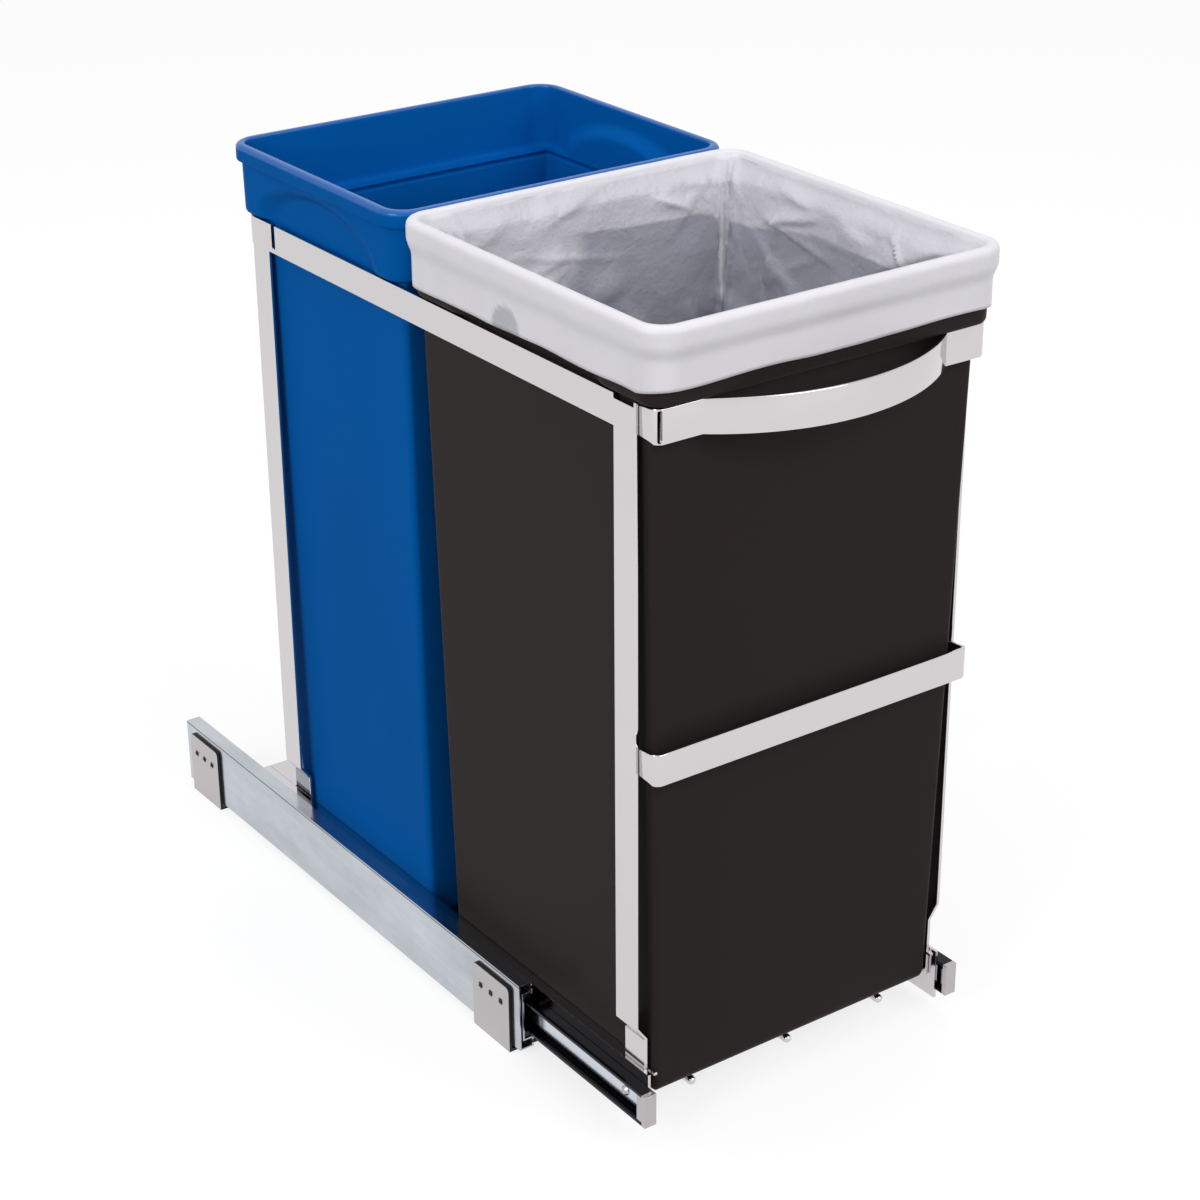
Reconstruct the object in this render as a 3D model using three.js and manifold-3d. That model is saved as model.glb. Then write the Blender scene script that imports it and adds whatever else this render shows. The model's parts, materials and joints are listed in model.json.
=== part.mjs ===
// Pull-out trash unit for a base cabinet: two telescopic slides on floor brackets, a chromed strap
// frame that rides on them, and two lift-out bins, the front one with a liner folded over its rim.
// Millimetres, +Z up, the handle faces -Y and the cabinet's back is towards +Y. Left is -X.
// It stands as it does when pulled out part of the way. Nearly every size below can be set alone.

import * as THREE from 'three';
import { mergeVertices } from 'three/addons/utils/BufferGeometryUtils.js';
import Module from 'manifold-3d';

const wasm = await Module();
wasm.setup();

// ---------------------------------------------------------------- driving dimensions

// Places along Y are measured from a line just ahead of the front posts.
const weldGap = 0.2;            // between two pieces that are welded or riveted face to face
const through = 1;              // how far a cutter runs past the face that it cuts
const slideGap = 0.2;           // running clearance between the slide's moving members
const sides = { left: -1, right: 1 };

// Telescopic slide, one on each side. Across sizes run inward from its outer face.
const slideOuterFace = 118.5;   // distance of the slide's outer face from the middle plane
const slideCentreZ = 26.7;
const railLength = 406;
const railFrontY = 106;
const outerRailHeight = 44.4;
const outerRailDepth = 9.9;
const outerSheet = 1.3;
const midSheet = 1.2;
const midRailLength = 348;
const midRailDepth = 7.5;
const midRailFrontY = 106;
const raceLip = 1.5;            // how far the curled edges reach round the balls
const ballRadius = 2.25;
const ballSlack = 0.1;
const cageSheet = 0.6;
const cageArm = 6.3;
const outerBallInset = 4.6;     // from the cage's outer face to the balls' centres
const innerBallInset = 2.5;
const outerCageStart = 190;
const outerCageLength = 180;
const outerBallCount = 7;
const innerCageStart = 193;
const innerCageLength = 120;
const innerBallCount = 5;
const innerRailLength = 402;
const innerRailDepth = 7.6;
const innerRailFrontY = -6.4;
const innerFlange = 1.8;
const innerWeb = 1.5;
const innerWebInset = 4.3;      // from the inner rail's outer edge to its web
const bumperLength = 12;
const bumperInset = 1;
const bumperSlack = 0.3;
const capThickness = 3.2;
const capOverhang = 0.2;
const capPlugLength = 5;
const rivetHeadRadius = 3;
const rivetHeadHeight = 1.2;
const rivetNeckRadius = 1.86;   // of the head's flat top
const rivetShankRadius = 1.9;
const rivetHoleRadius = 2.1;
const rivetInset = 10.4;        // of the first and last rivet from the frame's two ends
const middleRivetY = 190;

// Floor brackets, two to each outer rail.
const bracketSheet = 1.8;
const bracketWidth = 38;
const bracketHeight = 43.5;
const bracketFootReach = 34;
const bracketCornerRadius = 3;
const frontBracketY = 133;      // middle of the bracket
const rearBracketY = 485;
const footHoleRadius = 2.6;
const footHoleSpacing = 22;
const footHoleInset = 9;        // from the foot's inner edge to the hole's centre

// Side frames: one bent plate each, with a top rail and two posts that step inward at the foot.
const frameOuterFace = 110.5;
const frameTopZ = 436.5;
const frameFrontY = 3.6;
const rearRimOverhang = 19.2;   // of the rear bin's rim past the rear posts' back edges
const frameSheet = 2;
const postWidth = 18.4;
const topRailHeight = 17.3;
const stepTopZ = 72;
const stepBottomZ = 61;
const stepLean = 0.3;           // keeps the sheet as thick where it leans
const postFootZ = 26;
const notchInset = 1.6;         // shallow notch in the frame's top edge, behind its front corner
const notchLength = 17;
const notchDepth = 2.8;
const slitWidth = 4.2;          // upright slit between the rail and the rear post
const slitSetback = 3.8;
const slitMargin = 3;           // of rail left under the slit

// Lower rails: angle strips that carry the bins' floor and are riveted to the inner rails.
const lowerRailSheet = 1.7;
const lowerRailTopZ = 44;
const lowerRailBottomZ = 12;
const lowerRailFrontY = -2;
const lowerRailOverhang = 44;   // past the rear posts
const lowerFlangeInner = 100;   // distance of the flange's inner edge from the middle plane
const postSlotClearance = 0.2;

// Floor of the carriage.
const tieWidth = 34;
const tieSheet = 1.7;
const tieLipHeight = 12;
const crossStripSheet = 1.7;
const crossStripWidth = 16;
const crossStripTopZ = 25;
const endStripInset = 6.4;      // of the first cross strip from the front posts' front edges
const rearStripInset = 6;       // of the last one from the rear posts' back edges
const middleStripLap = 12;      // how far the middle one reaches under each bin
const wireRadius = 2.75;
const wireSpacing = 69;
const wireFrontY = 5;
const wireOverhang = 6;         // past the rear posts

// Straps across the front and the back.
const strapSheet = 2;
const strapStandOff = 14.4;     // from the front posts' edges to the strap's outer face
const strapReturnReach = 3.5;   // how far the bent ends reach along the posts' inner faces
const backStrapStandOff = 8.8;
const backStrapReach = 16;
const strapBendRadius = 2;      // of the strap's middle line
const topStrapHeight = 19;
const bellyStrapHeight = 18.6;
const bellyStrapZ = 237.2;      // middle of the strap
const bowHalfSpan = 79;
const bowReach = 27.8;
const bowMiddleHeight = 19.6;
const strapEndTrim = 3;         // how much lower the bent ends are than the strap
const cornerSlotWidth = 2;
const cornerSlotInset = 0.6;    // from the bent end's outer face
const cornerSlotMargin = 1.5;
const cornerSlotBite = 0.6;     // how far the slot runs on into the bend

// Bins. Half widths are measured at the side walls, insets at the front and back walls.
const skirtClearance = 0.6;     // between the frame's top edge and the skirt
const skirtHeight = 41.9;
const rimHalfWidth = 115;
const rimCornerRadius = 17.5;
const rimEdgeRadius = 2.8;
const mouthChamfer = 0.8;
const lipHeight = 10;
const lipProud = 3.2;
const skirtDraft = 0.5;
const skirtEdgeRadius = 2.4;    // where the skirt turns in to the step
const sideStep = 5.3;
const outerStep = 10;           // at the end that faces out of the frame
const facingStep = 4;           // at the end that faces the other bin
const bodySideDraft = 6.6;
const bodyEndDraft = 6;
const bodyCornerRadius = 3;
const floorEdgeRadius = 7;
const binWall = 2.4;
const seatGap = 0.3;            // between the bins and what they stand on
const archHalfWidth = 60;
const archHeight = 25.5;
const archMargin = 0.2;         // keeps the recess just outside the body's wall line
const binsFrontY = -18.2;       // front edge of the front bin's rim
const frontBinLength = 232.7;
const rearBinLength = 189.2;
const binGap = 1.5;             // between the two rims, filled mostly by the liner's fold
const tuckHoleRadius = 13;
const tuckHoleOffset = 14;      // behind the middle of the bin
const tuckHoleRise = 6.9;       // of its centre above the skirt's bottom edge

// Liner in the front bin.
const linerSheet = 0.7;
const linerGap = 0.4;
const linerHemRise = 7.5;       // above the skirt's bottom edge
const linerInset = 0.8;         // between the bin's inner wall and the hanging bag
const linerGatherDepth = 13;    // below the rim, where the bag has come in to the body's width
const linerSlack = 2;           // further gap round the bag's foot
const linerFlare = 4;           // height over which the fold comes in under the lip

// ---------------------------------------------------------------- values that follow from them

const slideTop = outerRailHeight / 2;
const outerRaceV = slideTop - outerSheet;
const outerBallV = outerRaceV - ballSlack - ballRadius;
const midTop = outerBallV - ballRadius - ballSlack;
const innerRaceV = midTop - midSheet;
const innerBallV = innerRaceV - ballSlack - ballRadius;
const innerTop = innerBallV - ballRadius - slideGap;
const outerCageFace = slideOuterFace - outerSheet - slideGap;
const midRailFace = outerCageFace - cageSheet - slideGap;
const innerCageFace = midRailFace - midSheet - slideGap;
const innerRailFace = innerCageFace - cageSheet - slideGap;
const innerRailInside = innerRailFace - innerRailDepth;
const outerBallX = outerCageFace - outerBallInset;
const innerBallX = innerCageFace - innerBallInset;
const lowerRailFace = innerRailInside - weldGap;
const postFootFace = lowerRailFace - lowerRailSheet - weldGap;
const strapReturnFace = frameOuterFace - frameSheet - weldGap;
const rearBinY = binsFrontY + frontBinLength + binGap;
const frameRearY = rearBinY + rearBinLength - rearRimOverhang;
const rivetPlaces = [frameFrontY + rivetInset, middleRivetY, frameRearY - rivetInset];
const lowerRailRearY = frameRearY + lowerRailOverhang;
const floorZ = crossStripTopZ + seatGap;
const skirtBottomZ = frameTopZ + skirtClearance;
const rimZ = skirtBottomZ + skirtHeight;
const lipBottomZ = rimZ - lipHeight;
const skirtRadius = rimCornerRadius - lipProud;
const skirtInset = lipProud + skirtDraft;
const bodySideInset = skirtInset + sideStep;

// The bay is the stretch of the frame that a bin's rim fills. The two bins stand back to back.
const frontBay = {
  y0: binsFrontY,
  y1: binsFrontY + frontBinLength,
  frontInset: skirtInset + outerStep,
  rearInset: skirtInset + facingStep,
};
const rearBay = {
  y0: rearBinY,
  y1: rearBinY + rearBinLength,
  frontInset: skirtInset + facingStep,
  rearInset: skirtInset + outerStep,
};

// ---------------------------------------------------------------- materials

const finish = (color, roughness, metalness) =>
  new THREE.MeshStandardMaterial({ color, roughness, metalness });
const chrome = finish(0xd2cfd0, 0.12, 1.0);
const zinc = finish(0xb9bec4, 0.32, 1.0);
const nickel = finish(0xc3bcbb, 0.38, 1.0);
const ballSteel = finish(0xd9dbde, 0.1, 1.0);
const blackPlastic = finish(0x1c1b1c, 0.5, 0.0);
const binBlack = finish(0x2b2829, 0.42, 0.0);
const binBlue = finish(0x0c4f97, 0.42, 0.0);
const linerFilm = finish(0xe6e5ea, 0.45, 0.0);

// ---------------------------------------------------------------- shape tools

/** A closed geometry as a solid that can be cut and joined. */
function solidOf(geometry) {
  const bare = geometry.clone();
  bare.deleteAttribute('normal');
  bare.deleteAttribute('uv');
  const merged = mergeVertices(bare, 1e-4);
  return new wasm.Manifold(new wasm.Mesh({
    numProp: 3,
    vertProperties: Float32Array.from(merged.attributes.position.array),
    triVerts: Uint32Array.from(merged.index.array),
  }));
}

/** A solid back as a flat-shaded geometry. */
function geometryOf(solid) {
  const mesh = solid.getMesh();
  const indexed = new THREE.BufferGeometry();
  indexed.setAttribute('position', new THREE.BufferAttribute(mesh.vertProperties, 3));
  indexed.setIndex(new THREE.BufferAttribute(mesh.triVerts, 1));
  const geometry = indexed.toNonIndexed();
  geometry.computeVertexNormals();
  return geometry;
}

/** A box given by its spans. The ends of a span may come in either order. */
function block([x0, x1], [y0, y1], [z0, z1]) {
  const box = new THREE.BoxGeometry(Math.abs(x1 - x0), Math.abs(y1 - y0), Math.abs(z1 - z0));
  return box.translate((x0 + x1) / 2, (y0 + y1) / 2, (z0 + z1) / 2);
}

/** A cylinder along X between two places, for holes and shanks. */
function pegAlongX(radius, [x0, x1], y, z) {
  const peg = new THREE.CylinderGeometry(radius, radius, Math.abs(x1 - x0), 16);
  return peg.rotateZ(Math.PI / 2).translate((x0 + x1) / 2, y, z);
}

/** An outline of [distance from the middle plane, height] points, extruded along Y. */
function sectionAlongY(outline, side, y0, y1) {
  const shape = new THREE.Shape(outline.map(([x, z]) => new THREE.Vector2(side * x, z)));
  const bar = new THREE.ExtrudeGeometry(shape, { depth: y1 - y0, bevelEnabled: false });
  return bar.rotateX(Math.PI / 2).translate(0, y1, 0);
}

/** Half an outline above the slide's middle height, completed by its mirror image below. */
function mirroredSection(upperHalf) {
  const above = upperHalf.map(([x, v]) => [x, slideCentreZ + v]);
  const below = upperHalf.map(([x, v]) => [x, slideCentreZ - v]).reverse();
  return [...above, ...below];
}

/**
 * A flat strip bent along a path in the XY plane and standing on its edge.
 * Each path point is { x, y, height }, and the strip is centred on middleZ.
 */
function bentStrip(path, thickness, middleZ) {
  const positions = [];
  path.forEach((point, i) => {
    const before = path[Math.max(i - 1, 0)];
    const after = path[Math.min(i + 1, path.length - 1)];
    const arriving = new THREE.Vector2(point.x - before.x, point.y - before.y).normalize();
    const leaving = new THREE.Vector2(after.x - point.x, after.y - point.y).normalize();
    const along = arriving.clone().add(leaving).normalize();
    const straight = i === 0 ? leaving : arriving;
    const mitre = thickness / 2 / Math.max(along.dot(straight), 0.5);
    for (const [across, up] of [[1, -1], [1, 1], [-1, 1], [-1, -1]]) {
      positions.push(
        point.x + across * mitre * -along.y,
        point.y + across * mitre * along.x,
        middleZ + up * point.height / 2,
      );
    }
  });
  const faces = [0, 2, 1, 0, 3, 2];
  for (let i = 0; i < path.length - 1; i += 1) {
    for (let k = 0; k < 4; k += 1) {
      const a = 4 * i + k;
      const b = 4 * i + (k + 1) % 4;
      faces.push(a, b, b + 4, a, b + 4, a + 4);
    }
  }
  const last = 4 * (path.length - 1);
  faces.push(last, last + 1, last + 2, last, last + 2, last + 3);
  const strip = new THREE.BufferGeometry();
  strip.setAttribute('position', new THREE.Float32BufferAttribute(positions, 3));
  strip.setIndex(faces);
  return strip;
}

/** Points round a rectangle with rounded corners, seen from above and running anticlockwise. */
function roundedRing({ halfWidth, y0, y1, radius, z }) {
  const cornerSteps = 4;
  const corners = [
    [halfWidth - radius, y0 + radius, -Math.PI / 2],
    [halfWidth - radius, y1 - radius, 0],
    [radius - halfWidth, y1 - radius, Math.PI / 2],
    [radius - halfWidth, y0 + radius, Math.PI],
  ];
  const ring = [];
  for (const [cx, cy, start] of corners) {
    for (let i = 0; i <= cornerSteps; i += 1) {
      const angle = start + (Math.PI / 2) * i / cornerSteps;
      ring.push(new THREE.Vector3(cx + radius * Math.cos(angle), cy + radius * Math.sin(angle), z));
    }
  }
  return ring;
}

/** A closed solid through a stack of rings, capped flat at the first and the last. */
function lofted(levels) {
  const rings = levels.map(roundedRing);
  const count = rings[0].length;
  const positions = rings.flat().flatMap((p) => [p.x, p.y, p.z]);
  const faces = [];
  for (let r = 0; r < rings.length - 1; r += 1) {
    for (let i = 0; i < count; i += 1) {
      const a = r * count + i;
      const b = r * count + (i + 1) % count;
      faces.push(a, b, b + count, a, b + count, a + count);
    }
  }
  const top = (rings.length - 1) * count;
  for (let i = 1; i < count - 1; i += 1) {
    faces.push(0, i + 1, i);
    faces.push(top, top + i, top + i + 1);
  }
  const solid = new THREE.BufferGeometry();
  solid.setAttribute('position', new THREE.Float32BufferAttribute(positions, 3));
  solid.setIndex(faces);
  return solid;
}

const unit = new THREE.Group();
const carriage = new THREE.Group();

/** Adds a named piece to a group. */
function piece(group, name, geometry, material) {
  const mesh = new THREE.Mesh(geometry, material);
  mesh.name = name;
  group.add(mesh);
  return mesh;
}

// ---------------------------------------------------------------- telescopic slides

/** Outer rail: a channel open towards the bins, its edges curled round the outer balls. */
function outerRail(side) {
  const inner = slideOuterFace - outerRailDepth;
  return sectionAlongY(mirroredSection([
    [slideOuterFace, slideTop],
    [inner, slideTop],
    [inner, outerRaceV - raceLip],
    [inner + outerSheet, outerRaceV - raceLip],
    [inner + outerSheet, outerRaceV],
    [slideOuterFace - outerSheet, outerRaceV],
  ]), side, railFrontY, railFrontY + railLength);
}

/** Middle rail: a smaller channel whose edges are beaded both ways, to hold both rows of balls. */
function midRail(side) {
  const inner = midRailFace - midRailDepth;
  const beadOuter = inner + midSheet;
  return sectionAlongY(mirroredSection([
    [midRailFace, midTop],
    [beadOuter, midTop],
    [beadOuter, midTop + raceLip - slideGap],
    [inner, midTop + raceLip - slideGap],
    [inner, innerRaceV - raceLip + slideGap],
    [beadOuter, innerRaceV - raceLip + slideGap],
    [beadOuter, innerRaceV],
    [midRailFace - midSheet, innerRaceV],
  ]), side, midRailFrontY, midRailFrontY + midRailLength);
}

/** Inner rail: two ball tracks joined by a web, drilled for the rivets that carry the frame. */
function innerRail(side) {
  const webOuter = innerRailFace - innerWebInset;
  const trackFoot = innerTop - innerFlange;
  let rail = solidOf(sectionAlongY(mirroredSection([
    [webOuter, trackFoot],
    [innerRailFace, trackFoot],
    [innerRailFace, innerTop],
    [innerRailInside, innerTop],
    [innerRailInside, trackFoot],
    [webOuter - innerWeb, trackFoot],
  ]), side, innerRailFrontY, innerRailFrontY + innerRailLength));
  for (const y of rivetPlaces) {
    const span = [side * (webOuter - innerWeb - through), side * (webOuter + through)];
    rail = rail.subtract(solidOf(pegAlongX(rivetHoleRadius, span, y, slideCentreZ)));
  }
  return geometryOf(rail);
}

/** Ball cage: a thin U strip with a row of balls caught along each arm. */
function ballCage({ face, ballX, ballV, start, length, ballCount }, side) {
  const half = ballV + cageSheet / 2;
  const pitch = length / ballCount;
  let cage = solidOf(sectionAlongY(mirroredSection([
    [face, half],
    [face - cageArm, half],
    [face - cageArm, half - cageSheet],
    [face - cageSheet, half - cageSheet],
  ]), side, start, start + length));
  for (let i = 0; i < ballCount; i += 1) {
    for (const row of [-1, 1]) {
      const ball = new THREE.SphereGeometry(ballRadius, 8, 6);
      ball.translate(side * ballX, start + pitch * (i + 0.5), slideCentreZ + row * ballV);
      cage = cage.add(solidOf(ball));
    }
  }
  return geometryOf(cage);
}

/** Plastic bumper in the mouth of the middle rail, round the inner rail. */
function midBumper(side) {
  const inner = innerCageFace - cageSheet;
  const reach = midRailFace - midRailDepth + midSheet + bumperSlack;
  const start = midRailFrontY + bumperInset;
  return sectionAlongY(mirroredSection([
    [innerCageFace, innerRaceV - slideGap],
    [reach, innerRaceV - slideGap],
    [reach, innerTop + bumperSlack],
    [inner, innerTop + bumperSlack],
  ]), side, start, start + bumperLength);
}

/** Bright end cap of the inner rail: a face plate with a plug that fills the channel. */
function railEndCap(side) {
  const faceX = [side * (innerRailInside - capOverhang), side * (innerRailFace + capOverhang)];
  const faceZ = [slideCentreZ - innerTop, slideCentreZ + innerTop];
  const plugEdge = innerRailFace - innerWebInset + weldGap;
  const plugHalf = innerTop - innerFlange - weldGap;
  const rear = innerRailFrontY - weldGap;
  const face = solidOf(block(faceX, [rear - capThickness, rear], faceZ));
  const plug = solidOf(block(
    [side * plugEdge, side * (innerRailFace - weldGap)],
    [rear - capThickness / 2, rear + capPlugLength],
    [slideCentreZ - plugHalf, slideCentreZ + plugHalf],
  ));
  return geometryOf(face.add(plug));
}

/** Rivet through the inner rail's web and the lower rail, with a domed head outside. */
function railRivet(side, y) {
  const webOuter = innerRailFace - innerWebInset;
  const seat = webOuter + weldGap;
  const tail = lowerRailFace - lowerRailSheet;
  const middle = seat + rivetHeadHeight / 2;
  const shank = solidOf(pegAlongX(rivetShankRadius, [side * tail, side * middle], y, slideCentreZ));
  const head = new THREE.CylinderGeometry(rivetNeckRadius, rivetHeadRadius, rivetHeadHeight, 16);
  head.rotateZ(-side * Math.PI / 2).translate(side * middle, y, slideCentreZ);
  return geometryOf(shank.add(solidOf(head)));
}

const outerCage = {
  face: outerCageFace,
  ballX: outerBallX,
  ballV: outerBallV,
  start: outerCageStart,
  length: outerCageLength,
  ballCount: outerBallCount,
};
const innerCage = {
  face: innerCageFace,
  ballX: innerBallX,
  ballV: innerBallV,
  start: innerCageStart,
  length: innerCageLength,
  ballCount: innerBallCount,
};

for (const [name, side] of Object.entries(sides)) {
  piece(unit, `outer_rail_${name}`, outerRail(side), zinc);
  piece(unit, `mid_rail_${name}`, midRail(side), zinc);
  piece(unit, `outer_ball_cage_${name}`, ballCage(outerCage, side), ballSteel);
  piece(unit, `inner_ball_cage_${name}`, ballCage(innerCage, side), ballSteel);
  piece(unit, `mid_rail_bumper_${name}`, midBumper(side), blackPlastic);
  piece(carriage, `inner_rail_${name}`, innerRail(side), zinc);
  piece(carriage, `rail_end_cap_${name}`, railEndCap(side), nickel);
  rivetPlaces.forEach((y, i) => {
    const place = ['front', 'middle', 'rear'][i] ?? `extra${i}`;
    piece(carriage, `rail_rivet_${name}_${place}`, railRivet(side, y), nickel);
  });
}

// ---------------------------------------------------------------- floor brackets

/** Bracket: a plate on the rail's outside with a foot turned in under it, for two floor screws. */
function floorBracket(side, middleY) {
  const plateInner = slideOuterFace + weldGap;
  const plateOuter = plateInner + bracketSheet;
  const half = bracketWidth / 2;
  const outline = new THREE.Shape();
  outline.moveTo(-half, 0);
  outline.lineTo(half, 0);
  outline.lineTo(half, bracketHeight - bracketCornerRadius);
  outline.absarc(half - bracketCornerRadius, bracketHeight - bracketCornerRadius,
    bracketCornerRadius, 0, Math.PI / 2);
  outline.absarc(bracketCornerRadius - half, bracketHeight - bracketCornerRadius,
    bracketCornerRadius, Math.PI / 2, Math.PI);
  const plate = new THREE.ExtrudeGeometry(outline, {
    depth: bracketSheet, bevelEnabled: false, curveSegments: 4,
  });
  plate.rotateX(Math.PI / 2).rotateZ(Math.PI / 2);
  plate.translate(side > 0 ? plateInner : -plateOuter, middleY, 0);
  const footEdge = plateInner - bracketFootReach;
  let bracket = solidOf(plate).add(solidOf(block(
    [side * footEdge, side * plateOuter], [middleY - half, middleY + half], [0, bracketSheet],
  )));
  for (const shift of [-footHoleSpacing / 2, footHoleSpacing / 2]) {
    const hole = new THREE.CylinderGeometry(footHoleRadius, footHoleRadius, 3 * bracketSheet, 16);
    hole.rotateX(Math.PI / 2).translate(side * (footEdge + footHoleInset), middleY + shift, 0);
    bracket = bracket.subtract(solidOf(hole));
  }
  return geometryOf(bracket);
}

for (const [name, side] of Object.entries(sides)) {
  piece(unit, `floor_bracket_${name}_front`, floorBracket(side, frontBracketY), nickel);
  piece(unit, `floor_bracket_${name}_rear`, floorBracket(side, rearBracketY), nickel);
}

// ---------------------------------------------------------------- side frames and lower rails

/**
 * Side frame: the top rail and both posts, each post stepped inward above the lower rail. The rail
 * has a shallow notch behind the front post and an upright slit in front of the rear one.
 */
function sideFrame(side) {
  const post = [
    [frameOuterFace, frameTopZ],
    [frameOuterFace, stepTopZ],
    [postFootFace, stepBottomZ],
    [postFootFace, postFootZ],
    [postFootFace - frameSheet, postFootZ],
    [postFootFace - frameSheet, stepBottomZ + stepLean],
    [frameOuterFace - frameSheet, stepTopZ + stepLean],
    [frameOuterFace - frameSheet, frameTopZ],
  ];
  const front = solidOf(sectionAlongY(post, side, frameFrontY, frameFrontY + postWidth));
  const rear = solidOf(sectionAlongY(post, side, frameRearY - postWidth, frameRearY));
  const rail = solidOf(block(
    [side * (frameOuterFace - frameSheet), side * frameOuterFace],
    [frameFrontY, frameRearY],
    [frameTopZ - topRailHeight, frameTopZ],
  ));
  const cutX = [side * (frameOuterFace - frameSheet - through), side * (frameOuterFace + through)];
  const notchY = frameFrontY + notchInset;
  const notch = solidOf(block(
    cutX, [notchY, notchY + notchLength], [frameTopZ - notchDepth, frameTopZ + through],
  ));
  const slitRearY = frameRearY - postWidth - slitSetback;
  const slit = solidOf(block(
    cutX, [slitRearY - slitWidth, slitRearY],
    [frameTopZ - topRailHeight + slitMargin, frameTopZ + through],
  ));
  return geometryOf(front.add(rear).add(rail).subtract(notch).subtract(slit));
}

/** Lower rail: an angle with its flange turned in beside the bins, slotted for the posts. */
function lowerRail(side) {
  let rail = solidOf(sectionAlongY([
    [lowerRailFace, lowerRailBottomZ],
    [lowerRailFace, lowerRailTopZ],
    [lowerFlangeInner, lowerRailTopZ],
    [lowerFlangeInner, lowerRailTopZ - lowerRailSheet],
    [lowerRailFace - lowerRailSheet, lowerRailTopZ - lowerRailSheet],
    [lowerRailFace - lowerRailSheet, lowerRailBottomZ],
  ], side, lowerRailFrontY, lowerRailRearY));
  const slotX = [
    side * (postFootFace - frameSheet - postSlotClearance),
    side * (lowerRailFace - lowerRailSheet),
  ];
  const slotZ = [lowerRailTopZ - 2 * lowerRailSheet, lowerRailTopZ + through];
  const frontSlotY = [lowerRailFrontY - through, frameFrontY + postWidth + postSlotClearance];
  const rearSlotY = [frameRearY - postWidth - postSlotClearance, frameRearY + postSlotClearance];
  for (const slotY of [frontSlotY, rearSlotY]) {
    rail = rail.subtract(solidOf(block(slotX, slotY, slotZ)));
  }
  for (const y of rivetPlaces) {
    const span = [
      side * (lowerRailFace - lowerRailSheet - through),
      side * (lowerRailFace + through),
    ];
    rail = rail.subtract(solidOf(pegAlongX(rivetHoleRadius, span, y, slideCentreZ)));
  }
  return geometryOf(rail);
}

for (const [name, side] of Object.entries(sides)) {
  piece(carriage, `side_frame_${name}`, sideFrame(side), chrome);
  piece(carriage, `lower_rail_${name}`, lowerRail(side), chrome);
}

// ---------------------------------------------------------------- floor of the carriage

/** Rear tie: a strip level with the flanges, its back edge turned down. */
function rearTie() {
  const half = lowerFlangeInner - weldGap;
  const front = lowerRailRearY - tieWidth;
  const top = solidOf(block([-half, half], [front, lowerRailRearY],
    [lowerRailTopZ - tieSheet, lowerRailTopZ]));
  const lip = solidOf(block([-half, half], [lowerRailRearY - tieSheet, lowerRailRearY],
    [lowerRailTopZ - tieLipHeight, lowerRailTopZ]));
  return geometryOf(top.add(lip));
}

piece(carriage, 'rear_tie', rearTie(), chrome);

/** Cross strip: a flat strip between the lower rails, under the bins' floors. */
function crossStrip([y0, y1]) {
  const half = lowerRailFace - lowerRailSheet - weldGap;
  return block([-half, half], [y0, y1], [crossStripTopZ - crossStripSheet, crossStripTopZ]);
}

// The middle strip carries the facing edges of both bins' flat floors.
const frontFloorEnd = frontBay.y1 - frontBay.rearInset - bodyEndDraft - floorEdgeRadius;
const rearFloorStart = rearBay.y0 + rearBay.frontInset + bodyEndDraft + floorEdgeRadius;
const firstStripStart = frameFrontY + endStripInset;
const lastStripEnd = frameRearY - rearStripInset;
const crossStrips = {
  front: [firstStripStart, firstStripStart + crossStripWidth],
  middle: [frontFloorEnd - middleStripLap, rearFloorStart + middleStripLap],
  rear: [lastStripEnd - crossStripWidth, lastStripEnd],
};
for (const [name, span] of Object.entries(crossStrips)) {
  piece(carriage, `cross_strip_${name}`, crossStrip(span), chrome);
}

for (const [name, x] of [['left', -wireSpacing], ['middle', 0], ['right', wireSpacing]]) {
  const wireRearY = frameRearY + wireOverhang;
  const straight = wireRearY - wireFrontY - 2 * wireRadius;
  const wire = new THREE.CapsuleGeometry(wireRadius, straight, 3, 10);
  const wireZ = crossStripTopZ - crossStripSheet - weldGap - wireRadius;
  wire.translate(x, (wireFrontY + wireRearY) / 2, wireZ);
  piece(carriage, `floor_wire_${name}`, wire, chrome);
}

// ---------------------------------------------------------------- straps

/**
 * The path of a strap's middle line, from one bent end round to the other. The strap stands off
 * from edgeY, towards outward (-1 to the front, 1 to the back), and its bent ends reach back
 * along the posts. The span between the bends is given by its own points.
 */
function strapPath({ edgeY, outward, standOff, reach, height, span }) {
  const flankX = strapReturnFace - strapSheet / 2;
  const faceY = edgeY + outward * (standOff - strapSheet / 2);
  const endY = edgeY - outward * reach;
  const endHeight = height - strapEndTrim;
  const bend = [];
  for (let i = 0; i <= 4; i += 1) {
    const turn = (Math.PI / 2) * i / 4;
    bend.push({
      x: strapBendRadius * (1 - Math.cos(turn)) - flankX,
      y: faceY + outward * strapBendRadius * (Math.sin(turn) - 1),
      height,
    });
  }
  bend[0].height = endHeight;
  const start = [{ x: -flankX, y: endY, height: endHeight }, ...bend];
  const finish = start.map((p) => ({ ...p, x: -p.x })).reverse();
  return [...start, ...span(faceY), ...finish];
}

/** The handle's bow: an arc standing out of the strap, broader at its middle. */
function bowPoints(faceY) {
  const radius = (bowHalfSpan ** 2 + bowReach ** 2) / (2 * bowReach);
  const halfAngle = Math.asin(bowHalfSpan / radius);
  const points = [];
  const steps = 20;
  for (let i = 0; i <= steps; i += 1) {
    const turn = halfAngle * (2 * i / steps - 1);
    const rise = radius * (Math.cos(turn) - Math.cos(halfAngle));
    const height = topStrapHeight + (bowMiddleHeight - topStrapHeight) * rise / bowReach;
    points.push({ x: radius * Math.sin(turn), y: faceY - rise, height });
  }
  return points;
}

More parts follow.
